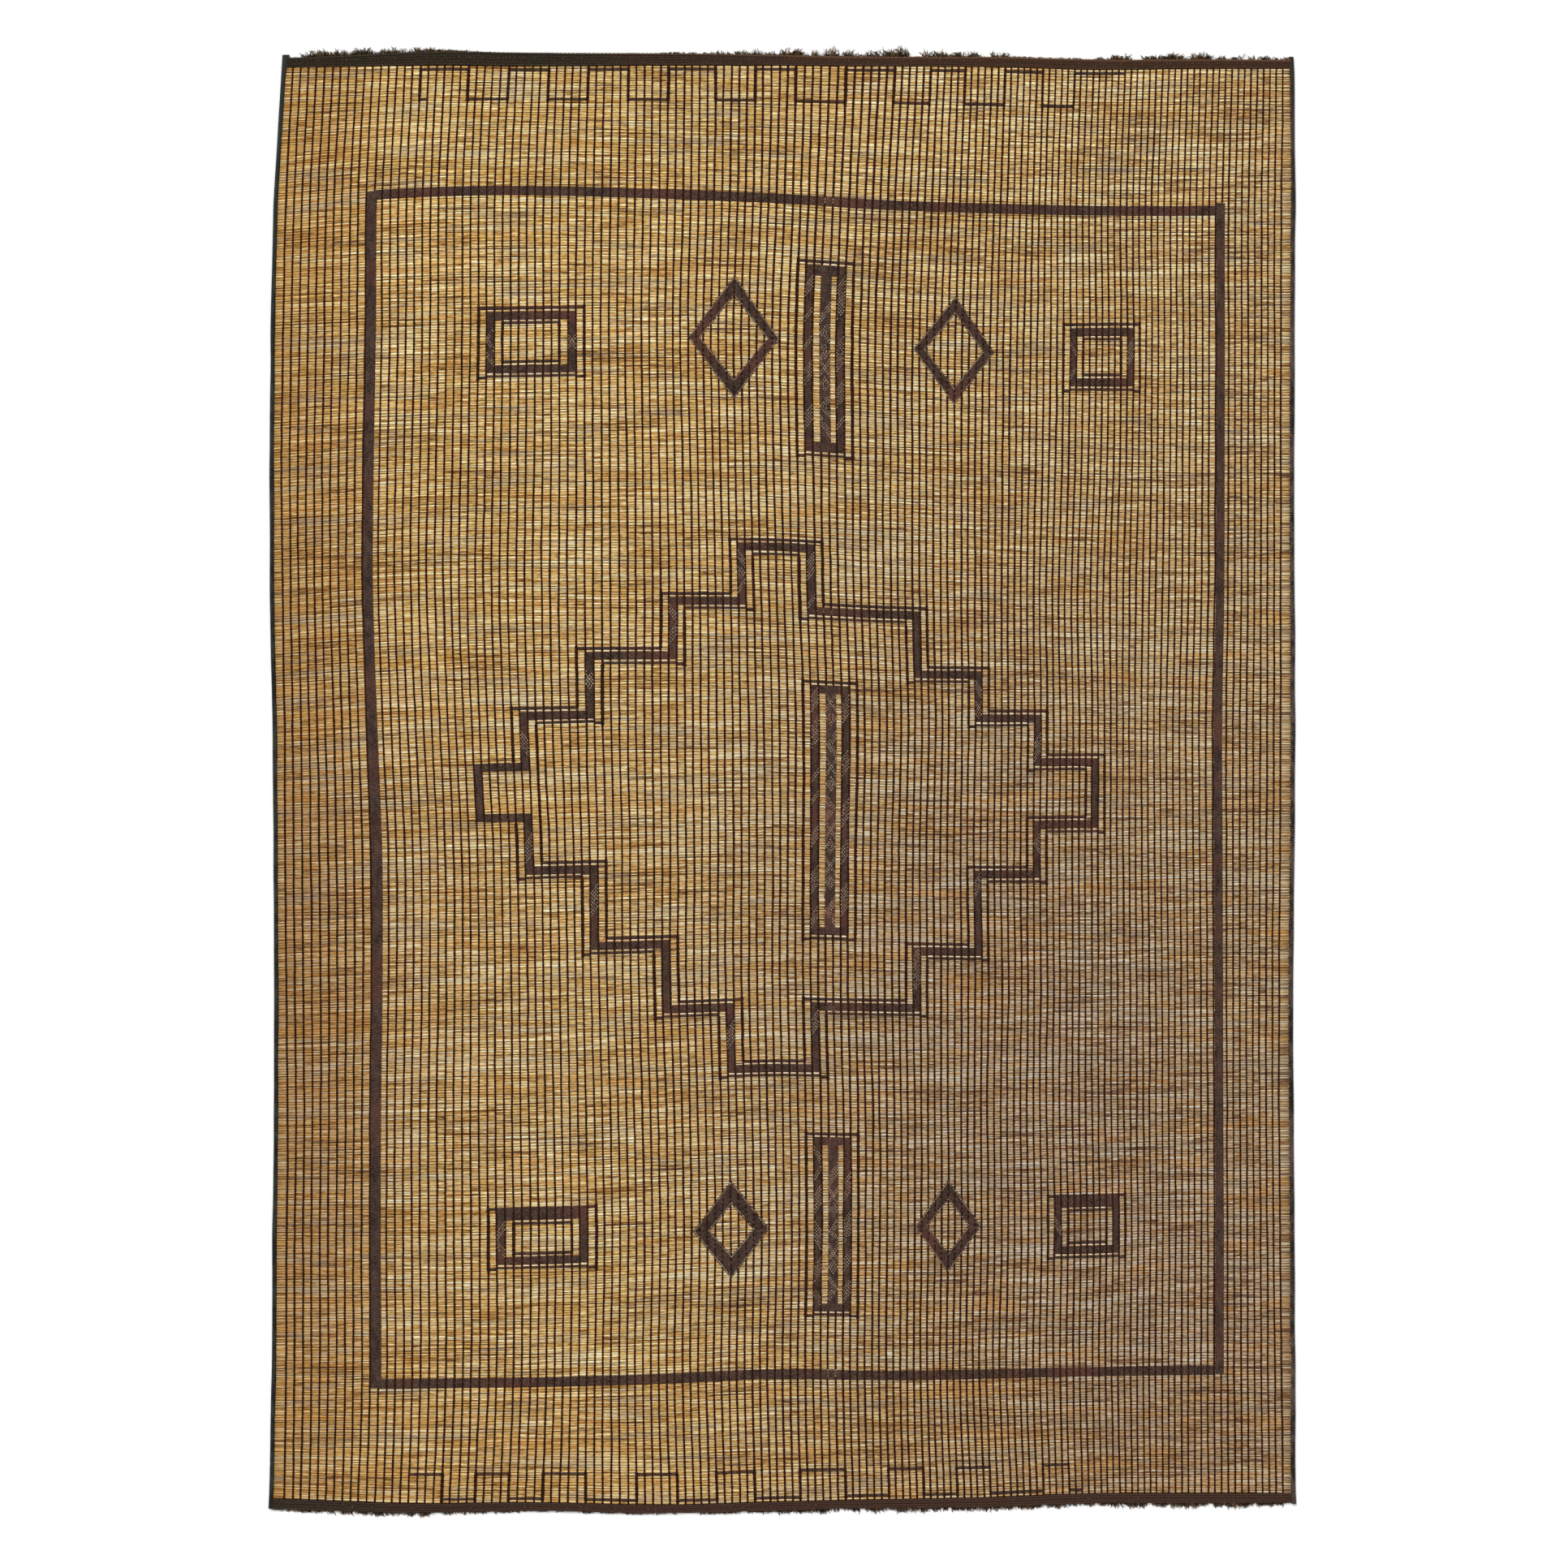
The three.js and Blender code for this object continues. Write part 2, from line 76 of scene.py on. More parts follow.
# Bands of pattern strips, in reeds: how far they lie above their place and reach beyond it
BAND_LIFT = 0.25
BAND_SPREAD = 0.12

# Skip stitches: reeds between neighbouring spots of a line, and reeds from one line to the next
SKIP_RISE = 0.85
SKIP_PITCH = 1.4
CROSS_PITCH = 1.3
CHEVRON_LINES = 3

THONG_STEP = 15
REED_STEP = 50
LAST_THONG = 135
LAST_REED = 550
MAT_CENTRE = (0.769 * MM, -0.66 * MM)
# What is uneven in the field and its stitches; bindings, headings and fringes have sources of their own
SPREAD = np.random.default_rng(41)

# How the thongs run: x in mm of thongs 0, 15, 30 ... 135 at reeds 0, 50, 100 ... 550.
# These values were fitted to places measured in the photograph.
THONG_X = MM * np.array([
    [-964.5, -727.4, -490.9, -255.2, -20.5, 222.9, 426.9, 614.4, 800.5, 987.6],
    [-978.0, -739.8, -502.3, -257.6, -25.8, 208.7, 418.0, 605.4, 791.2, 984.2],
    [-983.1, -741.4, -503.0, -261.7, -34.7, 199.4, 410.1, 606.8, 791.3, 983.6],
    [-986.7, -745.6, -504.8, -258.0, -31.9, 199.3, 407.6, 603.0, 790.3, 983.2],
    [-984.3, -748.0, -507.7, -254.9, -26.4, 200.0, 406.6, 595.5, 788.4, 983.1],
    [-980.7, -738.8, -501.4, -255.5, -19.9, 206.9, 407.3, 598.8, 783.2, 983.1],
    [-979.7, -727.3, -490.8, -252.2, -18.5, 202.7, 404.9, 597.6, 784.7, 981.8],
    [-977.1, -726.9, -486.1, -251.5, -18.9, 202.3, 407.4, 598.4, 787.0, 979.8],
    [-974.3, -730.3, -482.8, -244.0, -13.6, 207.0, 405.0, 598.3, 787.7, 979.8],
    [-977.2, -730.1, -479.3, -240.0, -10.4, 207.0, 406.4, 602.1, 788.5, 982.0],
    [-977.5, -729.1, -480.9, -243.0, -13.6, 205.3, 402.6, 599.5, 787.2, 984.4],
    [-981.0, -737.2, -489.3, -236.8, -7.9, 211.0, 412.0, 604.6, 788.3, 987.5],
])

# How the reeds lie, fitted in the same way: y in mm of reeds 0, 50 ... 550 at thongs 0, 15 ... 135
REED_Y = MM * np.array([
    [1404.7, 1405.1, 1403.0, 1405.3, 1407.1, 1406.9, 1405.7, 1401.7, 1403.7, 1403.8],
    [1142.1, 1160.6, 1165.7, 1161.7, 1155.0, 1142.1, 1136.0, 1132.4, 1131.9, 1133.9],
    [882.1, 892.0, 897.7, 900.8, 899.0, 884.3, 875.3, 875.9, 876.4, 875.9],
    [616.6, 632.7, 637.8, 641.2, 642.2, 628.7, 619.2, 614.5, 611.8, 612.5],
    [365.6, 381.9, 387.9, 387.4, 385.9, 375.1, 369.5, 366.0, 365.1, 365.0],
    [102.2, 116.7, 124.1, 128.9, 129.2, 120.4, 119.3, 119.1, 114.6, 110.1],
    [-150.1, -143.5, -138.8, -132.9, -128.2, -135.2, -137.4, -135.4, -131.8, -128.6],
    [-414.8, -405.7, -400.3, -394.0, -386.4, -389.6, -391.9, -392.6, -390.6, -388.7],
    [-670.0, -663.6, -657.5, -649.0, -641.9, -644.9, -642.1, -638.2, -636.9, -632.9],
    [-922.3, -922.0, -918.7, -909.2, -899.9, -899.1, -895.9, -892.3, -886.1, -885.1],
    [-1177.7, -1173.9, -1170.9, -1164.2, -1154.8, -1156.1, -1152.6, -1148.1, -1145.0, -1144.2],
    [-1408.4, -1417.5, -1415.9, -1420.9, -1415.9, -1411.2, -1407.4, -1400.0, -1400.3, -1401.8],
])

# Outer edges of the side bindings in mm, measured there too, from the bottom end up: y, left x, right x
SIDE_EDGE = MM * np.array([
    [-1450, -1014.0, 1016.0],
    [-1400, -1010.4, 1012.8],
    [-1160, -1006.0, 1012.0],
    [-905, -1004.2, 1010.4],
    [-650, -1002.0, 1008.6],
    [-400, -1000.8, 1007.6],
    [-140, -1002.2, 1010.4],
    [110, -1004.6, 1011.6],
    [370, -1010.0, 1010.4],
    [620, -1010.2, 1009.2],
    [880, -1008.6, 1010.8],
    [1140, -1002.4, 1013.0],
    [1400, -987.0, 1010.5],
    [1450, -984.0, 1007.5],
])
BINDING_TOP = {"left": 1431.6 * MM, "right": 1427.6 * MM}
BINDING_BOTTOM = {"left": -1434.2 * MM, "right": -1425.0 * MM}

# Ends of the mat in mm: thong, depth of the top and bottom heading, reach of the top and bottom fringe
ENDS = np.array([
    [0, 19.0, 21.0, 8.0, 2.0],
    [5, 21.0, 20.5, 12.0, 6.5],
    [15, 27.0, 18.5, 9.0, 7.5],
    [20, 28.0, 18.0, 1.5, 4.0],
    [30, 27.0, 17.0, 0.0, 2.0],
    [45, 24.0, 17.0, 0.5, 1.5],
    [52, 23.0, 17.5, 4.0, 3.0],
    [60, 21.0, 17.5, 9.0, 6.0],
    [68, 18.5, 17.5, 13.0, 6.0],
    [75, 18.5, 18.0, 14.0, 7.0],
    [82, 19.0, 19.0, 11.0, 8.0],
    [90, 20.0, 19.5, 8.0, 7.0],
    [93, 20.0, 19.7, 1.5, 6.5],
    [105, 20.0, 20.0, 1.5, 6.0],
    [109, 19.0, 20.0, 8.0, 6.5],
    [118, 18.0, 20.0, 12.0, 7.5],
    [128, 17.5, 20.0, 11.0, 8.0],
    [135, 17.0, 19.7, 6.0, 4.0],
])
# Each end of the mat: its last reed, the way out in y, and its columns of ENDS for depth and reach
End = namedtuple("End", "reed out depth reach")
TOP = End(reed=0, out=1, depth=1, reach=3)
BOTTOM = End(reed=LAST_REED, out=-1, depth=2, reach=4)

# Reeds next to the headings lie further out, in mm: thong, shift of the top end and of the bottom end
END_SHIFT = np.array([
    [0, 1.5, -7.0], [12, 4.0, -7.0], [20, 6.0, -7.0], [45, 5.0, -6.4],
    [68, 2.0, -5.0], [90, 1.0, -5.0], [110, 0.0, -5.0], [135, 0.0, -2.7],
])
TOP_SHIFT_REEDS = 45
BOTTOM_SHIFT_REEDS = 44


def knots(at, last):
    """First knot and the four weights of a smooth curve through evenly spaced values."""
    k = np.clip(np.floor(at).astype(int), 0, last - 1)
    f = at - k
    zero = np.zeros_like(f)
    inside = [
        0.5 * (2 * f**2 - f - f**3),
        0.5 * (2 - 5 * f**2 + 3 * f**3),
        0.5 * (f + 4 * f**2 - 3 * f**3),
        0.5 * (f**3 - f**2),
    ]
    under = [-f / 2, zero + 1, f / 2, zero]
    over = [zero, (1 - f) / 2, zero + 1, (f - 1) / 2]
    weights = [
        np.where(f < 0, a, np.where(f > 1, c, b)) for a, b, c in zip(under, inside, over)
    ]
    return k, weights


def stretched(table):
    """A table with one more row and column on each side, in line with the last two."""
    first, last = 2 * table[:1] - table[1:2], 2 * table[-1:] - table[-2:-1]
    tall = np.concatenate([first, table, last])
    first, last = 2 * tall[:, :1] - tall[:, 1:2], 2 * tall[:, -1:] - tall[:, -2:-1]
    return np.concatenate([first, tall, last], axis=1)


TABLES = [stretched(THONG_X), stretched(REED_Y)]


def weave(thong, reed):
    """x and y on the mat of points counted in thongs and reeds."""
    thong, reed = np.broadcast_arrays(np.asarray(thong, float), np.asarray(reed, float))
    across, across_weights = knots(thong / THONG_STEP, THONG_X.shape[1] - 1)
    down, down_weights = knots(reed / REED_STEP, THONG_X.shape[0] - 1)
    place = [np.zeros(thong.shape), np.zeros(thong.shape)]
    for m in range(4):
        for n in range(4):
            weight = down_weights[m] * across_weights[n]
            for axis in range(2):
                place[axis] = place[axis] + weight * TABLES[axis][down + m, across + n]
    return place[0] - MAT_CENTRE[0], place[1] - MAT_CENTRE[1] + end_shift(thong, reed)


def end_shift(thong, reed):
    """How far the reeds beside the headings lie beyond the places of the table."""
    top = np.clip(1 - reed / TOP_SHIFT_REEDS, 0, 1)
    short = np.clip((LAST_REED - reed) / BOTTOM_SHIFT_REEDS, 0, 1)
    up, down = (np.interp(thong, END_SHIFT[:, 0], END_SHIFT[:, k]) for k in (1, 2))
    return MM * (top * up + (1 - short**2) * down)


def side_x(side, y, inset=0.0):
    """x of a side's outer edge at y, moved in by inset."""
    column = 1 if side == "left" else 2
    edge = np.interp(y + MAT_CENTRE[1], SIDE_EDGE[:, 0], SIDE_EDGE[:, column]) - MAT_CENTRE[0]
    return edge + inset if side == "left" else edge - inset


def end_value(column, thong):
    """A column of ENDS at the thongs, in metres."""
    return MM * np.interp(thong, ENDS[:, 0], ENDS[:, column])


def drift(rows, columns, step, spread=SPREAD):
    """Smooth random values, one line a row, that change over about step columns."""
    count = int(columns / step) + 3
    knots_at = spread.normal(size=(rows, count))
    at = np.arange(columns) / step
    k = at.astype(int)
    f = at - k
    ease = f * f * (3 - 2 * f)
    return knots_at[:, k] * (1 - ease) + knots_at[:, k + 1] * ease


# Meshes joined from many like shapes


class Faces:
    """Points and faces of one mesh, gathered shape by shape."""

    def __init__(self):
        self.points, self.places, self.faces, self.count = [], [], {}, 0

    def add_points(self, points, places):
        """Points and their places in the weave; gives the number of the first one."""
        start = self.count
        self.points.append(points.reshape(-1, 3))
        self.places.append(places.reshape(-1, 3))
        self.count += len(self.points[-1])
        return start

    def add_faces(self, corners):
        self.faces.setdefault(corners.shape[-1], []).append(corners.reshape(-1, corners.shape[-1]))

    def add_roofs(self, points, places):
        """Small closed roofs, each from the four corners of its foot and the two ends of its ridge."""
        base = self.add_points(points, places) + 6 * np.arange(len(points))[:, None]
        for corners in ([0, 1, 5, 4], [2, 3, 4, 5], [3, 2, 1, 0], [1, 2, 5], [3, 0, 4]):
            self.add_faces(base + np.array(corners))

    def add_strip(self, first, second):
        """Quads that join two lines of points."""
        self.add_faces(np.stack([first[:-1], second[:-1], second[1:], first[1:]], axis=-1))

    def build(self, name, finish):
        """The finished mesh, with thong, reed and tone of every point in its weave attribute."""
        points = np.concatenate(self.points)
        groups = [np.concatenate(group) for group in self.faces.values()]
        corners = np.concatenate([group.ravel() for group in groups])
        sizes = np.concatenate([np.full(len(group), group.shape[1]) for group in groups])
        mesh = bpy.data.meshes.new(name)
        mesh.vertices.add(len(points))
        mesh.vertices.foreach_set("co", points.astype(np.float32).ravel())
        mesh.loops.add(len(corners))
        mesh.loops.foreach_set("vertex_index", corners.astype(np.int32))
        mesh.polygons.add(len(sizes))
        mesh.polygons.foreach_set("loop_start", (np.cumsum(sizes) - sizes).astype(np.int32))
        mesh.polygons.foreach_set("use_smooth", np.full(len(sizes), True))
        mesh.update(calc_edges=True)
        place = mesh.attributes.new("weave", "FLOAT_VECTOR", "POINT")
        place.data.foreach_set("vector", np.concatenate(self.places).astype(np.float32).ravel())
        mesh.materials.append(finish)
        piece = bpy.data.objects.new(name, mesh)
        bpy.context.scene.collection.objects.link(piece)
        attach(piece, "root")
        return piece


def xyz(x, y, z):
    return np.stack(np.broadcast_arrays(x, y, z), axis=-1).astype(float)


def sheet_quads(start, rows, columns, turned=False):
    """Quads of a grid of points whose rows run from the top end to the bottom end."""
    index = start + np.arange(rows * columns).reshape(rows, columns)
    a, b, c, d = index[:-1, :-1], index[1:, :-1], index[1:, 1:], index[:-1, 1:]
    order = (d, c, b, a) if turned else (a, b, c, d)
    return np.stack(order, axis=-1)


# Charts of the leather pattern, counted in thongs across and reeds down

FRAME = {"left": 10, "right": 126, "top": 49, "bottom": 505, "side": 1, "row": 4}
# How far the frame's bands lie below their reeds: thong, top band, bottom band
FRAME_DROP = np.array([[25, -0.6, 0.1], [55, 0.2, 0.0], [85, 0.6, 0.4], [112, 0.75, 0.5]])
# Strips that reach over the thong beside them: thong, reach to the left and to the right
WIDE_STRIPS = {10: (0.0, 0.38), 125: (-0.1, 0.5)}
BOXES = [
    {"left": 24, "right": 37, "top": 93, "bottom": 120, "filled_head": False},
    {"left": 101, "right": 113, "top": 95, "bottom": 121, "filled_head": False},
    {"left": 24, "right": 37, "top": 435, "bottom": 459, "filled_head": True},
    {"left": 99, "right": 111, "top": 435, "bottom": 460, "filled_head": True},
]
DIAMONDS = [
    {"thong": 56.0, "reed": 105.2, "wide": 6.05, "high": 24.1, "in_wide": 4.3, "in_high": 15.4},
    {"thong": 84.9, "reed": 105.8, "wide": 5.9, "high": 21.3, "in_wide": 4.0, "in_high": 13.7},
    {"thong": 54.1, "reed": 446.6, "wide": 5.05, "high": 19.3, "in_wide": 2.7, "in_high": 9.2},
    {"thong": 84.0, "reed": 446.3, "wide": 5.05, "high": 18.5, "in_wide": 3.0, "in_high": 9.7},
]
BARS = [
    {"left": 64, "top": 74, "bottom": 150, "end_rows": 4},
    {"left": 64, "top": 236, "bottom": 336, "end_rows": 3},
    {"left": 64, "top": 410, "bottom": 481, "end_rows": 3},
]
# Corners of the stepped medallion: outer thong and reed, inner thong and reed, 1 at the left tip
MEDALLION = np.array([
    [56, 184, 57, 187, 0], [66, 184, 65, 187, 0], [66, 208, 65, 211, 0],
    [80, 208, 79, 211, 0], [80, 231, 79, 234, 0], [89, 231, 88, 234, 0],
    [89, 248, 88, 251, 0], [98, 248, 97, 251, 0], [98, 265, 97, 268, 0],
    [107, 265, 106, 268, 0], [107, 292, 106, 289, 0], [98, 292, 97, 289, 0],
    [98, 311, 97, 308, 0], [89, 311, 88, 308, 0], [89, 341, 88, 338, 0],
    [80, 341, 79, 338, 0], [80, 363, 79, 360, 0], [66, 363, 65, 360, 0],
    [66, 387, 65, 384, 0], [54, 387, 55, 384, 0], [54, 363, 55, 360, 0],
    [46, 363, 47, 360, 0], [46, 338, 47, 335, 0], [37, 338, 38, 335, 0],
    [37, 309, 38, 306, 0], [29, 309, 30, 306, 0], [29, 289, 30, 286, 1],
    [23, 289, 24, 286, 1], [23, 267, 24, 270, 1], [29, 267, 30, 270, 1],
    [29, 248, 30, 251, 0], [37, 248, 38, 251, 0], [37, 226, 38, 229, 0],
    [47, 226, 48, 229, 0], [47, 205, 48, 208, 0], [56, 205, 57, 208, 0],
])
# Meanders beside the headings: the first and last reed row, the thongs it turns on, its two loose ends
MEANDERS = [
    {"first": 1, "last": 14, "upper_first": True, "ends": (17, 110),
     "turns": [16, 22, 27, 32, 37, 42, 47, 53, 58, 63, 69, 75, 80, 85, 91, 97, 102]},
    {"first": 538, "last": 549, "upper_first": False, "ends": (15, 104),
     "turns": [19, 23, 27, 31, 36, 42, 47, 52, 57, 63, 69, 75, 80, 85, 90, 98, 102]},
]
# Light skip stitches: first thong, columns of the fill, first and last reed, and their form.
# "/" and "\\" are slanting lines, "<" and ">" are chevrons, and
# "x" is a row of doubled crosses and nested diamonds.
SKIPS = [
    (25, 5, 101, 105, "/"), (25, 5, 105, 109, "\\"), (25, 5, 110, 115, "\\"), (35, 5, 104, 109, "x"),
    (102, 5, 102, 107, "\\"), (102, 5, 111, 116, "/"), (111, 5, 101, 111, "/"),
    (25, 5, 440, 447, "/"), (25, 5, 447, 454, "\\"), (100, 5, 444, 450, "\\"),
    (65, 5, 80, 88, "/"), (65, 5, 93, 97, "/"), (65, 5, 104, 108, "/"), (65, 5, 113, 122, "/"),
    (65, 5, 130, 139, "/"),
    (69, 5, 80, 96, "/"), (69, 5, 103, 116, "/"), (69, 5, 120, 130, "/"), (69, 5, 134, 138, "/"),
    (67, 7, 90, 98, "/"), (67, 7, 98, 106, "<"), (67, 7, 106, 112, ">"), (67, 7, 112, 126, "x"),
    (67, 7, 126, 134, "<"), (67, 7, 134, 142, "\\"),
    (65, 5, 239, 248, "/"), (65, 5, 250, 262, "/"), (65, 5, 270, 275, "/"), (65, 5, 279, 283, "/"),
    (65, 5, 292, 300, "/"), (65, 5, 307, 318, "/"), (65, 5, 323, 331, "/"),
    (67, 7, 241, 255, "x"), (67, 7, 255, 266, "<"), (67, 7, 266, 280, "x"), (67, 7, 280, 290, ">"),
    (67, 7, 290, 304, "x"), (67, 7, 304, 318, "x"), (67, 7, 318, 331, "<"),
    (69, 5, 241, 252, "/"), (69, 5, 262, 272, "/"), (69, 5, 281, 292, "/"), (69, 5, 297, 306, "/"),
    (69, 5, 313, 326, "/"),
    (65, 5, 415, 422, "\\"), (65, 5, 424, 427, "/"), (65, 5, 430, 441, "/"), (65, 5, 444, 455, "\\"),
    (65, 5, 458, 467, "/"), (65, 5, 470, 476, "\\"),
    (67, 7, 421, 431, "/"), (67, 7, 431, 443, "x"), (67, 7, 443, 453, "<"), (67, 7, 453, 465, "x"),
    (67, 7, 465, 475, ">"),
    (69, 5, 425, 436, "/"), (69, 5, 440, 452, "/"), (69, 5, 455, 463, "/"), (69, 5, 466, 475, "/"),
    (56, 5, 187, 193, "\\"), (56, 5, 193, 198, ">"), (56, 5, 198, 203, "/"),
    (47, 5, 208, 214, "\\"), (47, 5, 215, 223, "/"), (37, 5, 233, 239, "x"), (37, 5, 313, 325, "/"),
    (29, 5, 255, 264, "\\"), (29, 5, 294, 304, "/"), (54, 5, 367, 377, "/"),
    (65, 5, 187, 197, "/"), (65, 5, 203, 208, "/"), (65, 5, 363, 372, "/"), (79, 5, 338, 355, "/"),
    (88, 5, 235, 241, "\\"), (88, 5, 243, 249, "x"), (88, 5, 309, 318, "/"),
    (97, 5, 255, 266, "/"), (97, 5, 292, 303, "<"),
]


def inside(corners, thong, reed):
    """True for the points that lie inside a polygon with level and upright sides."""
    hit = np.zeros(np.broadcast(thong, reed).shape, bool)
    for (u0, j0), (u1, j1) in zip(corners, np.roll(corners, -1, axis=0)):
        if u0 == u1:
            low, high = min(j0, j1), max(j0, j1)
            hit ^= (u0 > thong) & (reed > low) & (reed < high)
    return hit


def beside(base, thongs, reeds):
    """The medallion's corners without its left tip, moved outwards by thongs and reeds."""
    plain = MEDALLION[MEDALLION[:, 4] == 0]
    away = np.sign(plain[:, 0:2] - plain[:, 2:4])
    return plain[:, base:base + 2] + away * np.array([thongs, reeds])


def chart_pattern():
    """Cells that are filled with leather strips, cells of the one-reed outlines, and the thick thongs."""
    cell_thong = np.arange(LAST_THONG + 1)[:, None] + 0.5
    cell_reed = np.arange(LAST_REED)[None, :] + 0.5
    filled = np.zeros((LAST_THONG + 1, LAST_REED), bool)
    lines = filled.copy()
    thick = np.zeros((LAST_THONG + 1, LAST_REED + 1), bool)

    def ring(left, right, top, bottom, side, row):
        filled[left:right, top:bottom] = True
        filled[left + side:right - side, top + row:bottom - row] = False

    def outline(left, right, top, bottom):
        lines[left:right, top] = True
        lines[left:right, bottom - 1] = True
        thick[left, top:bottom + 1] = True
        thick[right, top:bottom + 1] = True

    ring(FRAME["left"], FRAME["right"], FRAME["top"], FRAME["bottom"], FRAME["side"], FRAME["row"])
    for box in BOXES:
        left, right, top, bottom = (box[key] for key in ("left", "right", "top", "bottom"))
        ring(left + 1, right - 1, top + 2, bottom - 2, 1, 3)
        outline(left, right, top, bottom)
        outline(left + 3, right - 3, top + 6, bottom - 6)
        if box["filled_head"]:
            filled[left + 1:right - 1, top + 1] = True
    for bar in BARS:
        left, top, bottom = bar["left"], bar["top"], bar["bottom"]
        filled[left + 1:left + 6, top + 2:bottom - 2] = True
        for slot in (2, 4):
            filled[left + slot, top + 2 + bar["end_rows"]:bottom - 2 - bar["end_rows"]] = False
        outline(left, left + 7, top, bottom)
    outer, inner = MEDALLION[:, 0:2], MEDALLION[:, 2:4]
    filled |= inside(outer, cell_thong, cell_reed) & ~inside(inner, cell_thong, cell_reed)
    far, near = beside(0, 1, 2), beside(0, 1, 1)
    lines |= inside(far, cell_thong, cell_reed) & ~inside(near, cell_thong, cell_reed)
    deep, shallow = beside(2, -1, -2), beside(2, -1, -1)
    lines |= inside(shallow, cell_thong, cell_reed) & ~inside(deep, cell_thong, cell_reed)
    for path in (far, deep):
        for (u0, j0), (u1, j1) in zip(path, np.roll(path, -1, axis=0)):
            if u0 == u1:
                thick[u0, min(j0, j1):max(j0, j1) + 1] = True
    tip = MEDALLION[MEDALLION[:, 4] == 1]
    thick[tip[:, 0].max() - 1, tip[:, 1].min():tip[:, 1].max() + 1] = False
    for meander in MEANDERS:
        turns, upper = meander["turns"], meander["upper_first"]
        for turn in turns:
            thick[turn, meander["first"]:meander["last"] + 1] = True
        stops = [*turns, meander["ends"][1]]
        for k in range(len(turns)):
            high = (k % 2 == 0) == upper
            row = meander["first"] if high else meander["last"] - 1
            lines[stops[k]:stops[k + 1], row] = True
        row = meander["last"] - 1 if upper else meander["first"]
        near_end = sorted((turns[0], meander["ends"][0]))
        lines[near_end[0]:near_end[1], row] = True
    return filled, lines, thick


FILLED, LINES, THICK = chart_pattern()


# Reeds

# How far a reed's border strays and where its crest begins and ends, in reeds
REED_STRAY = 0.13
REED_SHOULDERS = (0.27, 0.73)
REED_COLUMNS = 24
REED_BEND = 0.10
BEND_STEP = 2.2
LUMP_STEP = 1.6
REED_LIFT = 0.16 * MM
REED_LUMP = 0.10 * MM
LOWEST_CREST, HIGHEST_CREST = 3.6 * MM, 4.4 * MM


def reed_rows():
    """Reed count of every row of points: a valley and two shoulders for each reed."""
    valley = np.arange(LAST_REED + 1, dtype=float)
    valley[1:-1] += SPREAD.uniform(-REED_STRAY, REED_STRAY, LAST_REED - 1)
    rows = []
    for k in range(LAST_REED):
        wide = valley[k + 1] - valley[k]
        rows += [valley[k], *(valley[k] + shoulder * wide for shoulder in REED_SHOULDERS)]
    return np.array([*rows, valley[-1]])


def make_reeds(finish):
    """The reeds as one ridged sheet, closed at its edges, from binding to binding."""
    rows = reed_rows()
    columns = np.array([-1.0, *np.linspace(0, LAST_THONG, REED_COLUMNS), LAST_THONG + 1.0])
    count, across = len(rows), len(columns)
    bend = np.repeat(drift(LAST_REED + 1, across, BEND_STEP), 3, axis=0)[1:count + 1]
    bend[[0, -1]] = 0
    x, y = weave(columns[None, :], rows[:, None] + REED_BEND * bend)
    x[:, 0] = side_x("left", y[:, 0], BINDING_WIDTH - EDGE_TUCK)
    x[:, -1] = side_x("right", y[:, -1], BINDING_WIDTH - EDGE_TUCK)
    valley = np.arange(count) % 3 == 0
    lift = np.repeat(SPREAD.normal(0, REED_LIFT, LAST_REED + 1), 3)[:count]
    lump = np.repeat(drift(LAST_REED + 1, across, LUMP_STEP), 3, axis=0)[:count] * REED_LUMP
    crest = np.clip(REED_CREST + lift[:, None] + lump, LOWEST_CREST, HIGHEST_CREST)
    top = np.where(valley[:, None], REED_VALLEY, crest)
    under = np.where(valley[:, None], UNDER_VALLEY, UNDER_CREST + np.zeros_like(crest))
    faces = Faces()
    places = xyz(columns[None, :], rows[:, None], 0)
    upper = faces.add_points(xyz(x, y, top), places)
    lower = faces.add_points(xyz(x, y, under), places)
    faces.add_faces(sheet_quads(upper, count, across))
    faces.add_faces(sheet_quads(lower, count, across, turned=True))
    high = upper + np.arange(count * across).reshape(count, across)
    low = high - upper + lower
    for edge_high, edge_low in (
        (high[:, 0], low[:, 0]),
        (high[::-1, -1], low[::-1, -1]),
        (high[-1], low[-1]),
        (high[0, ::-1], low[0, ::-1]),
    ):
        faces.add_strip(edge_high, edge_low)
    return faces.build("reed_field", finish)


# Thongs

# Sway and wear of a strap, in thong intervals and as a share of its width: size, reeds from wave to wave
THONG_SWAYS = ((0.028, 21), (0.014, 5))
THONG_WEAR = ((0.07, 40), (0.05, 3))
# A strap swells where it passes over a reed and is drawn in where it passes under the next
BEAD_WIDTH = 0.16
BEAD_RISE = 0.14 * MM
THICK_RISE = 0.25 * MM
RISE_IN_FILL = 0.1 * MM
COVERED_TOP = FILL_ROOT + 1.2 * MM
# Places of a strap's two edges in its weave attribute, above and underneath, from its own thong
EDGE_PLACE, UNDER_PLACE = 0.5, 0.7


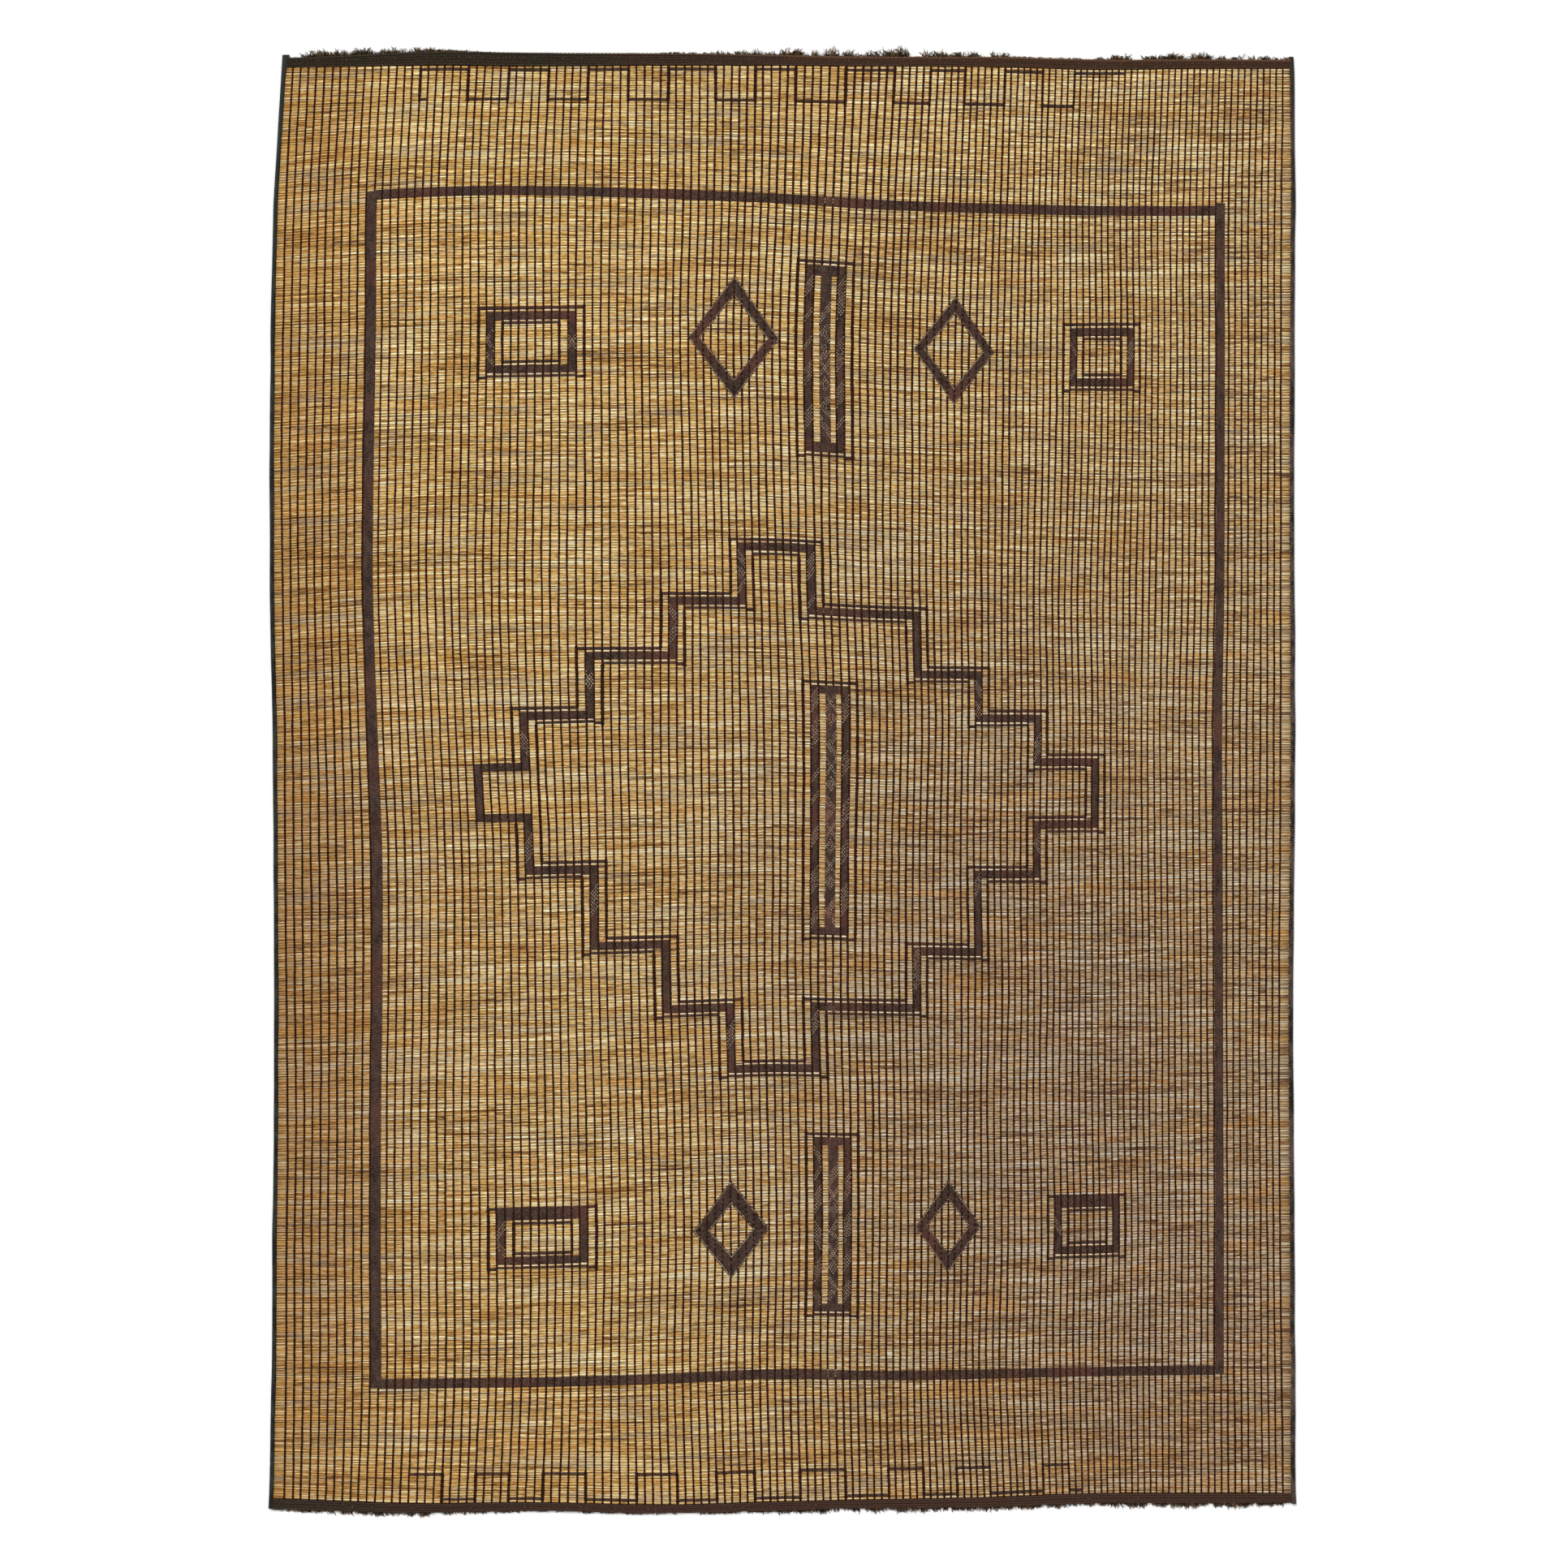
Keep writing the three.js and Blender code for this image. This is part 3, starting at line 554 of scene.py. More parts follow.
def make_thongs(name, first, last, finish):
    """Leather thongs first to last - 1, each a closed strap through the whole mat."""
    thong = np.arange(first, last)
    reed = np.arange(LAST_REED + 1)
    count, rows = len(thong), len(reed)
    sway = sum(size * drift(count, rows, step) for size, step in THONG_SWAYS)
    bead = np.where((reed[None, :] + thong[:, None]) % 2 == 0, 1.0, -1.0)
    worn = 1 + sum(size * drift(count, rows, step) for size, step in THONG_WEAR)
    is_thick = THICK[first:last]
    broader = np.interp(thong, BROADER_AT, BROADER)[:, None]
    half = np.where(is_thick, THICK_HALF, THONG_HALF * broader) * worn * (1 + BEAD_WIDTH * bead)
    top = THONG_TOP + np.where(is_thick, THICK_RISE, 0.0) + BEAD_RISE * bead
    both = np.zeros((LAST_THONG + 2, LAST_REED + 1), bool)
    both[1:, :-1] = FILLED
    within = (both[:-1] & both[1:])[first:last]
    covered = [bar["left"] + step for bar in BARS for step in (3, 4)]
    covered += [strip + 1 for strip in WIDE_STRIPS]
    hidden = np.isin(thong, covered)[:, None] & (both[:-1] | both[1:])[first:last]
    top = np.where(hidden, COVERED_TOP, np.where(within, top + RISE_IN_FILL, top))
    at = thong[:, None] + sway
    reeds = np.broadcast_to(reed[None, :].astype(float), (count, rows))
    faces = Faces()
    starts = []
    for side in (-1, 1):
        x, y = weave(at + side * half, reeds)
        starts.append(faces.add_points(xyz(x, y, top), xyz(thong[:, None] + side * EDGE_PLACE, reeds, 0)))
    for side in (-1, 1):
        x, y = weave((at + side * half)[:, ::2], reeds[:, ::2])
        places = xyz(thong[:, None] + side * UNDER_PLACE, reeds[:, ::2], 0)
        starts.append(faces.add_points(xyz(x, y, THONG_UNDER), places))
    pairs = rows // 2
    left = starts[0] + np.arange(count * rows).reshape(count, rows)
    right = left - starts[0] + starts[1]
    left_low = starts[2] + np.arange(count * (pairs + 1)).reshape(count, pairs + 1)
    right_low = left_low - starts[2] + starts[3]

    def join(*corners):
        faces.add_faces(np.stack(corners, axis=-1))

    join(left[:, :-1], left[:, 1:], right[:, 1:], right[:, :-1])
    join(left_low[:, :-1], right_low[:, :-1], right_low[:, 1:], left_low[:, 1:])
    a, b, c = left[:, :-2:2], left[:, 1::2], left[:, 2::2]
    e, f = left_low[:, :-1], left_low[:, 1:]
    join(a, e, b)
    join(e, f, b)
    join(b, f, c)
    a, b, c = right[:, :-2:2], right[:, 1::2], right[:, 2::2]
    e, f = right_low[:, :-1], right_low[:, 1:]
    join(a, b, e)
    join(e, b, f)
    join(b, c, f)
    join(left[:, 0], right[:, 0], right_low[:, 0], left_low[:, 0])
    join(left[:, -1], left_low[:, -1], right_low[:, -1], right[:, -1])
    return faces.build(name, finish)


# Pattern strips


STRIPS_A_CELL = 5
STRIPS_WIDE = 7
STRIPS_AN_ARM = 6
# How much a strip rises over a reed and dips beside it, and how far a block's first row lies below it
FILL_WAVE = 0.22 * MM
FILL_SHOULDER = 0.2 * MM
ARM_WAVE = 0.15 * MM
ARM_EDGE = 0.08
LOW_BAND_ROWS = 4
# Reach of the middle strip of a bar over the slots beside it, in thong intervals
BAR_SPINE = (0.14, 0.34)
FRAME_TRIM = (-0.05, -0.2)
LINE_DROP = -0.15
LINE_DROP_UNDER_FILL = -0.60
LINE_TRIM = 0.15


def add_fill(faces, left, right, strips, top, bottom):
    """A closed block of leather strips woven over the reeds from top to bottom."""
    rows = max(1, round(bottom - top))
    across = left + (right - left) * np.array([0, *((np.arange(strips) + 0.5) / strips), 1])
    middles = (np.arange(rows) + 0.5) / rows * (bottom - top)
    down = top + np.array([0, FILL_EDGE, *middles, bottom - top - FILL_EDGE, bottom - top])
    count, wide = rows + 4, strips + 2
    parity = (np.arange(count)[:, None] + np.arange(wide)[None, :]) % 2
    height = FILL_TOP + np.where(parity == 0, FILL_WAVE, -FILL_WAVE)
    height[[1, -2]] = FILL_TOP - FILL_SHOULDER
    height[[0, -1]] = FILL_ROOT
    height[:, [0, -1]] = FILL_ROOT
    x, y = weave(across[None, :], down[:, None])
    level_rows = 1.0 if rows <= LOW_BAND_ROWS and bottom - top < LOW_BAND_ROWS + 1 else 0.0
    start = faces.add_points(xyz(x, y, height), xyz(across[None, :], down[:, None], level_rows))
    faces.add_faces(sheet_quads(start, count, wide))
    index = start + np.arange(count * wide).reshape(count, wide)
    first = np.array([*index[0], index[1, -1], index[1, 0]])
    last = np.array([*index[-1, ::-1], index[-2, 0], index[-2, -1]])
    faces.add_faces(first[None, :])
    faces.add_faces(last[None, :])
    faces.add_strip(index[1:-1, 0], index[1:-1, -1])


def runs(column):
    """First and last reed of every unbroken run of filled cells in a column."""
    edge = np.flatnonzero(np.diff(np.concatenate([[0], column.astype(int), [0]])))
    return list(zip(edge[::2], edge[1::2]))


def make_pattern(finish):
    """The leather strips of the charted pattern: its bands, its outlines and the arms of the diamonds."""
    faces = Faces()
    frame_rows = {FRAME["top"]: 1, FRAME["bottom"] - FRAME["row"]: 2}
    for thong in range(LAST_THONG + 1):
        for top, bottom in runs(FILLED[thong]):
            left, right, strips = float(thong), thong + 1.0, STRIPS_A_CELL
            for bar in BARS:
                if thong == bar["left"] + 3 and top >= bar["top"] and bottom <= bar["bottom"]:
                    left, right, strips = left - BAR_SPINE[0], right + BAR_SPINE[1], STRIPS_WIDE
            if thong in WIDE_STRIPS:
                reach = WIDE_STRIPS[thong]
                left, right, strips = left - reach[0], right + reach[1], STRIPS_WIDE
            first, last = top - BAND_LIFT, bottom - BAND_LIFT
            if top in frame_rows and bottom - top == FRAME["row"]:
                drop = np.interp(thong, FRAME_DROP[:, 0], FRAME_DROP[:, frame_rows[top]])
                first, last = top + drop + FRAME_TRIM[0], bottom + drop + FRAME_TRIM[1]
            elif bottom - top <= LOW_BAND_ROWS:
                first, last = first - BAND_SPREAD, last + BAND_SPREAD
            add_fill(faces, left, right, strips, first, last)
        for top, bottom in runs(LINES[thong]):
            below_fill = top >= 2 and FILLED[thong, top - 2] and not FILLED[thong, top - 1]
            drop = LINE_DROP_UNDER_FILL if below_fill else LINE_DROP
            last = bottom + drop + LINE_TRIM
            add_fill(faces, float(thong), thong + 1.0, STRIPS_A_CELL, top + drop, last)
    for d in DIAMONDS:
        for left_side, right_side in diamond_arms(d):
            add_arm(faces, left_side, right_side, STRIPS_AN_ARM)
    return faces.build("pattern_strips", finish)


def add_arm(faces, left_side, right_side, strips):
    """A closed band between two slanting sides, each given by its upper and its lower end."""
    steps = max(2, round(left_side[1][1] - left_side[0][1]))
    share = np.linspace(0, 1, steps + 1)[:, None]
    side = np.array([0, ARM_EDGE, *(np.arange(1, strips) / strips), 1 - ARM_EDGE, 1])[None, :]
    ends = [[np.array(point, float) for point in line] for line in (left_side, right_side)]
    edges = [top[:, None, None] + (bottom - top)[:, None, None] * share for top, bottom in ends]
    thong, reed = edges[0] + (edges[1] - edges[0]) * side
    parity = (np.arange(steps + 1)[:, None] + np.arange(side.size)[None, :]) % 2
    height = FILL_TOP + np.where(parity == 0, ARM_WAVE, -ARM_WAVE)
    height[:, [0, -1]] = FILL_ROOT
    x, y = weave(thong, reed)
    start = faces.add_points(xyz(x, y, height), xyz(thong, reed, 0.0))
    faces.add_faces(sheet_quads(start, steps + 1, side.size))
    index = start + np.arange(height.size).reshape(height.shape)
    faces.add_faces(index[:1])
    faces.add_faces(index[-1:, ::-1])
    faces.add_strip(index[:, 0], index[:, -1])


def diamond_arms(d):
    """Left and right sides of the four arms of a diamond, from above downwards."""
    thong, reed = d["thong"], d["reed"]
    top, inner_top = (thong, reed - d["high"]), (thong, reed - d["in_high"])
    bottom, inner_bottom = (thong, reed + d["high"]), (thong, reed + d["in_high"])
    arms = []
    for sign in (-1, 1):
        corner, inner_corner = (thong + sign * d["wide"], reed), (thong + sign * d["in_wide"], reed)
        upper = [(top, corner), (inner_top, inner_corner)]
        lower = [(corner, bottom), (inner_corner, inner_bottom)]
        arms += [upper, lower] if sign < 0 else [upper[::-1], lower[::-1]]
    return arms


# Skip stitches, where a reed shows between the strips


def slanting_spots(columns, first, last, slope):
    """Spots of slanting lines that fill the reeds first to last."""
    end = columns - 1
    spare = last - first - SKIP_RISE * end
    count = max(2, int(spare / SKIP_PITCH + 1.4))
    top = first + (spare - (count - 1) * SKIP_PITCH) / 2
    spots = []
    for k in range(columns):
        rise = SKIP_RISE * (k if slope > 0 else end - k)
        spots += [(k, top + rise + line * SKIP_PITCH, slope) for line in range(count)]
    return spots


def chevron_spots(columns, first, last, opening):
    """Spots of three chevrons that open to the right (1) or to the left (-1)."""
    half = (last - first) / 2
    spots = []
    for k in range(columns):
        rise = SKIP_RISE * (k if opening > 0 else columns - 1 - k)
        for sign in (-1, 1):
            for line in range(CHEVRON_LINES):
                away = rise - line * SKIP_PITCH
                if 0 <= away <= half:
                    spots.append((k, first + half + sign * away, sign * opening))
    return spots


def cross_spots(columns, top):
    """Spots of one doubled cross."""
    end = columns - 1
    spots = []
    for k in range(columns):
        for line in (0.0, CROSS_PITCH):
            spots += [(k, top + SKIP_RISE * k + line, 1), (k, top + SKIP_RISE * (end - k) + line, -1)]
    return spots


def nested_spots(columns, top):
    """Spots of two diamonds, one inside the other."""
    middle = (columns - 1) / 2
    high = SKIP_RISE * middle
    spots = []
    for k in range(columns):
        side = int(np.sign(k - middle))
        for ring in (high, high - SKIP_PITCH):
            reach = ring - SKIP_RISE * abs(k - middle)
            if reach > -0.1:
                spots += [(k, top + high - reach, side), (k, top + high + reach, -side)]
    return spots


def skip_spots(columns, first, last, form):
    """Column, reed and slope (1 downwards, -1 upwards) of every spot of one group of skip stitches."""
    if form in ("/", "\\"):
        return slanting_spots(columns, first, last, 1 if form == "\\" else -1)
    if form in ("<", ">"):
        return chevron_spots(columns, first, last, 1 if form == "<" else -1)
    high = last - first
    units = max(1, round(high / (SKIP_RISE * (columns - 1) + 0.6)))
    spots = []
    for unit in range(units):
        shape = cross_spots if (unit + columns) % 2 else nested_spots
        spots += shape(columns, first + (high / units) * unit)
    return spots


# Six points of a small closed roof: the corners of its foot and the ends of its ridge
ROOF_LONG = np.array([-1, 1, 1, -1, -0.7, 0.7])
ROOF_WIDE = np.array([-1, -1, 1, 1, 0, 0])


def roof_heights(low, high):
    return np.array([low, low, low, low, high, high])


def roof_tones(count):
    return np.repeat(SPREAD.uniform(0, 1, count)[:, None], len(ROOF_LONG), axis=1)


def add_slivers(faces, thong, reed, half_thong, half_reed, low, high, slope=0.0):
    """Small closed roofs over the points thong, reed, slanting by slope reeds a thong."""
    thong, reed = np.asarray(thong, float), np.asarray(reed, float)
    u = ROOF_LONG * half_thong
    lean = np.broadcast_to(np.asarray(slope, float), thong.shape)[:, None] * u
    at_thong, at_reed = thong[:, None] + u, reed[:, None] - ROOF_WIDE * half_reed + lean
    x, y = weave(at_thong, at_reed)
    places = xyz(at_thong, at_reed, roof_tones(len(thong)))
    faces.add_roofs(xyz(x, y, roof_heights(low, high)[None, :]), places)


SPOT = {"half_thong": 0.075, "half_reed": 0.155, "low": 4.5 * MM, "high": 5.4 * MM}
DASH = {"half_thong": 0.38, "half_reed": 0.24, "low": 3.6 * MM, "high": 4.75 * MM}
# Where a group of spots begins in its cell and how wide it is, in thong intervals: five and seven columns
SPOT_GROUPS = {5: (0.0, 1.0), 7: (-0.12, 1.42)}
SPOT_MARGIN = 0.1
LOST_SPOTS = 0.06
SPOT_STRAY = 0.08
# Spots along the arms of the diamonds: their places across an arm, and along it in reeds
ARM_ROWS = (0.12, 0.88)
ARM_FIRST_SPOT = 0.3
ARM_SPOT_PITCH = 0.62
ARM_SPOTS_KEPT = 0.85
DASH_BELOW, DASH_ABOVE = 1.32, -0.88


def group_spots():
    """Thong, reed and slope of the light spots in the bars, boxes and medallion."""
    spots = []
    for first_thong, columns, first, last, form in SKIPS:
        shift, wide = SPOT_GROUPS[columns]
        left = first_thong + shift
        step = (1 - 2 * SPOT_MARGIN) * wide / (columns - 1)
        for k, reed, slope in skip_spots(columns, first, last, form):
            if SPREAD.uniform() > LOST_SPOTS:
                reed += SPREAD.uniform(-SPOT_STRAY, SPOT_STRAY)
                spots.append((left + SPOT_MARGIN * wide + step * k, reed, slope * SKIP_RISE / step))
    return spots


def diamond_spots():
    """Thong, reed and slope of the light spots along both edges of the diamonds' arms."""
    spots = []
    for d in DIAMONDS:
        for left_side, right_side in diamond_arms(d):
            (left_top, left_bottom), (right_top, right_bottom) = np.array(left_side), np.array(right_side)
            for share in ARM_ROWS:
                upper = left_top + share * (right_top - left_top)
                lower = left_bottom + share * (right_bottom - left_bottom)
                run = lower - upper
                for along in np.arange(ARM_FIRST_SPOT, run[1], ARM_SPOT_PITCH) / run[1]:
                    if SPREAD.uniform() < ARM_SPOTS_KEPT:
                        spots.append((*(upper + along * run), run[1] / run[0]))
    return spots


def outline_dashes():
    """Thong and reed of the pale reed that shows between an outline and the band beside it."""
    dashes = []
    for thong, reed in zip(*np.nonzero(LINES)):
        for side, shift in ((-1, DASH_ABOVE), (1, DASH_BELOW)):
            beyond = reed + 2 * side
            if 0 <= beyond < LAST_REED and FILLED[thong, beyond] and not FILLED[thong, reed + side]:
                dashes.append((thong + 0.5, reed + shift))
    return dashes


def make_skips(finish):
    """All the light skip stitches of the pattern as one mesh of small roofs."""
    faces = Faces()
    thongs, reeds, slopes = np.array(group_spots() + diamond_spots()).T
    add_slivers(faces, thongs, reeds, slope=slopes, **SPOT)
    thongs, reeds = np.array(outline_dashes()).T
    add_slivers(faces, thongs, reeds, **DASH)
    return faces.build("skip_stitches", finish)


# Rolled bindings

BINDING_STEPS = 96
BINDING_SIDES = 14
BINDING_WOBBLE = 0.4 * MM
BINDING_SWELL = 0.05
# The left roll broadens towards its top end: where that starts and how long it takes, in metres
BROAD_FROM = 1392 * MM
BROAD_RUN = 34 * MM
BROAD_BY = 5.5 * MM
BROAD_INSET = 2.7 * MM
BINDING_INSIDE_CAD = 0.2 * MM
BINDING_SEED = {"left": 7, "right": 8}
# Where the roll rests on the floor: the part of its height that is pressed flat, and how flat
PRESSED_BELOW = 0.25
PRESSED_TO = 0.2
SMOOTH_BINDING, SMOOTH_HEADING = math.radians(60), math.radians(50)


def binding_path(side):
    """x, y and width of a rolled binding at every step from its top end to its bottom end."""
    ys = np.linspace(BINDING_TOP[side], BINDING_BOTTOM[side], BINDING_STEPS + 1)
    rough = np.random.default_rng(BINDING_SEED[side])
    wobble = BINDING_WOBBLE * drift(1, BINDING_STEPS + 1, 3, rough)[0]
    inset = np.full(BINDING_STEPS + 1, BINDING_WIDTH / 2)
    width = BINDING_WIDTH * (1 + BINDING_SWELL * drift(1, BINDING_STEPS + 1, 2, rough)[0])
    if side == "left":
        broad = np.clip((ys - BROAD_FROM) / BROAD_RUN, 0, 1)
        width = width + BROAD_BY * broad
        inset = inset + BROAD_INSET * broad
    xs = side_x(side, ys, inset) + wobble
    if side == "left":
        return np.maximum(xs, cad_low[0] + BINDING_INSIDE_CAD + width / 2), ys, width
    return np.minimum(xs, cad_high[0] - BINDING_INSIDE_CAD - width / 2), ys, width


def make_binding(side, name, finish):
    """A strip of leather rolled round the side of the mat: a flattened circle drawn out along the edge."""
    xs, ys, width = binding_path(side)
    bpy.ops.object.select_all(action="DESELECT")
    bpy.ops.mesh.primitive_circle_add(
        vertices=BINDING_SIDES, radius=0.5, fill_type="NGON", location=(xs[0], ys[0], BINDING_THICK / 2),
        rotation=(math.pi / 2, 0, 0),
    )
    piece = bpy.context.object
    piece.name = piece.data.name = name
    bpy.ops.object.transform_apply(location=True, rotation=True, scale=True)
    bpy.ops.object.mode_set(mode="EDIT")
    bpy.ops.mesh.select_all(action="SELECT")
    here = (xs[0], ys[0], BINDING_THICK / 2)
    bpy.ops.transform.resize(value=(width[0], 1, BINDING_THICK), center_override=here)
    for k in range(1, BINDING_STEPS + 1):
        move = (xs[k] - xs[k - 1], ys[k] - ys[k - 1], 0)
        bpy.ops.mesh.extrude_region_move(TRANSFORM_OT_translate={"value": move})
        here = (xs[k], ys[k], BINDING_THICK / 2)
        bpy.ops.transform.resize(value=(width[k] / width[k - 1], 1, 1), center_override=here)
    bpy.ops.mesh.select_all(action="SELECT")
    bpy.ops.mesh.normals_make_consistent(inside=False)
    bpy.ops.object.mode_set(mode="OBJECT")
    for vertex in piece.data.vertices:
        if vertex.co.z < PRESSED_BELOW * BINDING_THICK:
            vertex.co.z = vertex.co.z * PRESSED_TO
    bpy.ops.object.shade_smooth_by_angle(angle=SMOOTH_BINDING)
    piece.data.materials.clear()
    piece.data.materials.append(finish)
    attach(piece, "root")
    return piece


# Headings

HEADING_STEPS = 272
HEADING_SHARES = 22
HEADING_TUCK = 3.0 * MM
TOP_RIBS, BOTTOM_RIBS = 5, 4
RIB_DEPTH = 1.5 * MM
RIB_WAVE = 0.25 * MM
RIB_FULLNESS = 0.6
EDGE_HEIGHT = 0.45
OUTER_EDGE = 0.9
EDGE_WAVE = 0.4 * MM
WAVE_PLACES = 600
HEADING_BACK = 0.3 * MM
BELOW_ALL = -20 * MM


def heading_line(reed, thong):
    """Where the heading begins: the end of the field, drawn out to the bindings at its two ends."""
    x, y = weave(thong, np.full(thong.shape, float(reed)))
    left = side_x("left", y, BINDING_WIDTH - HEADING_TUCK)
    right = side_x("right", y, BINDING_WIDTH - HEADING_TUCK)
    near_left = np.clip(0.5 - thong / 2, 0, 1)
    near_right = np.clip((thong - LAST_THONG + 1) / 2, 0, 1)
    x = x + near_left * (left - x) + near_right * (right - x)
    return np.clip(x, left, right), y


def make_heading(name, end, ribs, finish):
    """Ribbed leather heading, from a flat grid raised into ribs and closed underneath."""
    bpy.ops.object.select_all(action="DESELECT")
    bpy.ops.mesh.primitive_grid_add(x_subdivisions=HEADING_STEPS, y_subdivisions=HEADING_SHARES, size=2)
    piece = bpy.context.object
    piece.name = piece.data.name = name
    mesh = piece.data
    flat = np.empty(len(mesh.vertices) * 3)
    mesh.vertices.foreach_get("co", flat)
    flat = flat.reshape(-1, 3)
    thong = -1.0 + (LAST_THONG + 2) * (flat[:, 0] + 1) / 2
    share = (1 + end.out * flat[:, 1]) / 2
    x, y = heading_line(end.reed, thong)
    rough = np.random.default_rng(end.reed + 3)
    waves = drift(ribs + 1, WAVE_PLACES, 9, rough)
    last = WAVE_PLACES - 1
    step = np.clip(((thong + 1) / (LAST_THONG + 2) * last).astype(int), 0, last)
    rib = np.clip((share * ribs).astype(int), 0, ribs)
    wave = waves[rib, step]
    depth = end_value(end.depth, thong)
    round_rib = np.abs(np.sin(math.pi * ribs * share)) ** RIB_FULLNESS
    height = HEADING_THICK - RIB_DEPTH * (1 - round_rib) + RIB_WAVE * wave * round_rib
    edge = np.clip(np.minimum(share, 1 - share) * HEADING_SHARES, 0, 1)
    height = height * (EDGE_HEIGHT + (1 - EDGE_HEIGHT) * edge)
    y = y + end.out * (depth * share + EDGE_WAVE * wave * (share > OUTER_EDGE))
    mesh.vertices.foreach_set("co", xyz(x, y, height).ravel())
    mesh.update()
    bpy.ops.object.mode_set(mode="EDIT")
    bpy.ops.mesh.select_all(action="SELECT")
    bpy.ops.mesh.extrude_region_move(TRANSFORM_OT_translate={"value": (0, 0, BELOW_ALL)})
    bpy.ops.transform.resize(value=(1, 1, 0), center_override=(0, 0, HEADING_BACK))
    bpy.ops.mesh.select_all(action="SELECT")
    bpy.ops.mesh.normals_make_consistent(inside=False)
    bpy.ops.object.mode_set(mode="OBJECT")
    places = np.concatenate([xyz(thong, share, 0), xyz(thong, share, 0)])
    tag = mesh.attributes.new("weave", "FLOAT_VECTOR", "POINT")
    tag.data.foreach_set("vector", places.astype(np.float32).ravel())
    bpy.ops.object.shade_smooth_by_angle(angle=SMOOTH_HEADING)
    mesh.materials.clear()
    mesh.materials.append(finish)
    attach(piece, "root")
    return piece


# Stitches of thread, each a small closed roof: half length, half width, lowest and highest point
HEADING_STITCH = {"half_long": 1.2 * MM, "half_wide": 0.45 * MM, "low": 5.0 * MM, "high": 6.4 * MM}
LACING_STITCH = {"half_long": 2.5 * MM, "half_wide": 0.95 * MM, "low": 3.3 * MM, "high": 5.9 * MM}
# How far a heading stitch strays along and across the heading, and how much it turns
STITCH_STRAY = 0.08
STITCH_SHIFT = 0.02
STITCH_TURN = 0.25
FIRST_STITCH = 0.2
# Rows of stitches on a heading: share of its depth, pitch in thong intervals, and share kept
TOP_ROWS = ((0.10, 0.5, 0.8), (0.62, 0.5, 0.6), (0.30, 0.7, 0.25))
BOTTOM_ROWS = ((0.5, 0.8, 0.2),)
LACING_PITCH = 5.2 * MM
LACING_STRAY = 0.9
LACING_KEPT = 0.82
LACING_SHIFT = 0.45
LACING_LEAN = 1.15
LACING_TURN = 0.2
LACING_INSET = BINDING_WIDTH - 0.7 * MM
LACING_ENDS = (16 * MM, 40 * MM)


def add_stitches(faces, x, y, turned, half_long, half_wide, low, high):
    """Stitches at x, y, each turned from the x direction."""
    along, across = ROOF_LONG * half_long, ROOF_WIDE * half_wide
    c, s = np.cos(turned)[:, None], np.sin(turned)[:, None]
    px = x[:, None] + along * c - across * s
    py = y[:, None] + along * s + across * c
    faces.add_roofs(xyz(px, py, roof_heights(low, high)[None, :]), xyz(px, py, roof_tones(len(x))))


def make_heading_stitches(name, end, rows, finish):
    """Small light stitches in rows along a heading."""
    faces = Faces()
    for share, pitch, keep in rows:
        thong = np.arange(FIRST_STITCH, LAST_THONG, pitch)
        thong = thong[SPREAD.uniform(size=len(thong)) < keep]
        thong = thong + SPREAD.uniform(-STITCH_STRAY, STITCH_STRAY, len(thong))
        x, y = heading_line(end.reed, thong)
        shift = SPREAD.uniform(-STITCH_SHIFT, STITCH_SHIFT, len(thong))
        y = y + end.out * end_value(end.depth, thong) * (share + shift)
        add_stitches(faces, x, y, SPREAD.normal(0, STITCH_TURN, len(thong)), **HEADING_STITCH)
    return faces.build(name, finish)


def make_side_stitches(name, side, finish):
    """Slanting lacing stitches that hold the end of the reeds to a rolled binding."""
    faces = Faces()
    y = np.arange(BINDING_BOTTOM[side] + LACING_ENDS[0], BINDING_TOP[side] - LACING_ENDS[1], LACING_PITCH)
    y = y + SPREAD.uniform(-LACING_STRAY, LACING_STRAY, len(y)) * MM
    y = y[SPREAD.uniform(size=len(y)) < LACING_KEPT]
    x = side_x(side, y, LACING_INSET) + SPREAD.normal(0, LACING_SHIFT, len(y)) * MM
    add_stitches(faces, x, y, LACING_LEAN + SPREAD.normal(0, LACING_TURN, len(y)), **LACING_STITCH)
    return faces.build(name, finish)


# Cord of two twisted strips: its places along the heading, places a turn, sides, radius and height
CORD_PLACES = 1600
CORD_TURN = 6
CORD_SIDES = 8
CORD_RADIUS = 2.3
CORD_RIDGE = 0.45
CORD_HEIGHT = 4.7 * MM
CORD_SHARE = 0.90


def make_cord(name, end, finish):
    """Rolled cord of two twisted strips along the outer edge of a heading."""
    thong = np.linspace(-0.9, LAST_THONG + 0.9, CORD_PLACES)
    x, y = heading_line(end.reed, thong)
    y = y + end.out * end_value(end.depth, thong) * CORD_SHARE
    turn = np.arange(CORD_PLACES) * 2 * math.pi / CORD_TURN
    angle = np.linspace(0, 2 * math.pi, CORD_SIDES, endpoint=False)
    radius = (CORD_RADIUS + CORD_RIDGE * np.cos(2 * (angle[None, :] - turn[:, None] / 2))) * MM
    radius[[0, -1]] *= 0.2
    py = y[:, None] + radius * np.cos(angle)[None, :]
    pz = CORD_HEIGHT + radius * np.sin(angle)[None, :]
    faces = Faces()
    places = xyz(thong[:, None], angle[None, :] / (2 * math.pi), CORD_SHARE)
    start = faces.add_points(xyz(x[:, None], py, pz), places)
    index = start + np.arange(CORD_PLACES * CORD_SIDES).reshape(CORD_PLACES, CORD_SIDES)
    after = np.roll(index, -1, axis=1)
    faces.add_faces(np.stack([index[:-1], after[:-1], after[1:], index[1:]], axis=-1))
    faces.add_faces(index[:1, ::-1])
    faces.add_faces(index[-1:])
    return faces.build(name, finish)


# Fringe

FIBRES = 3200
FIBRE_SECTIONS = 4
FIBRE_CLUMPS = 230
CLUMP_WIDTH = 0.33
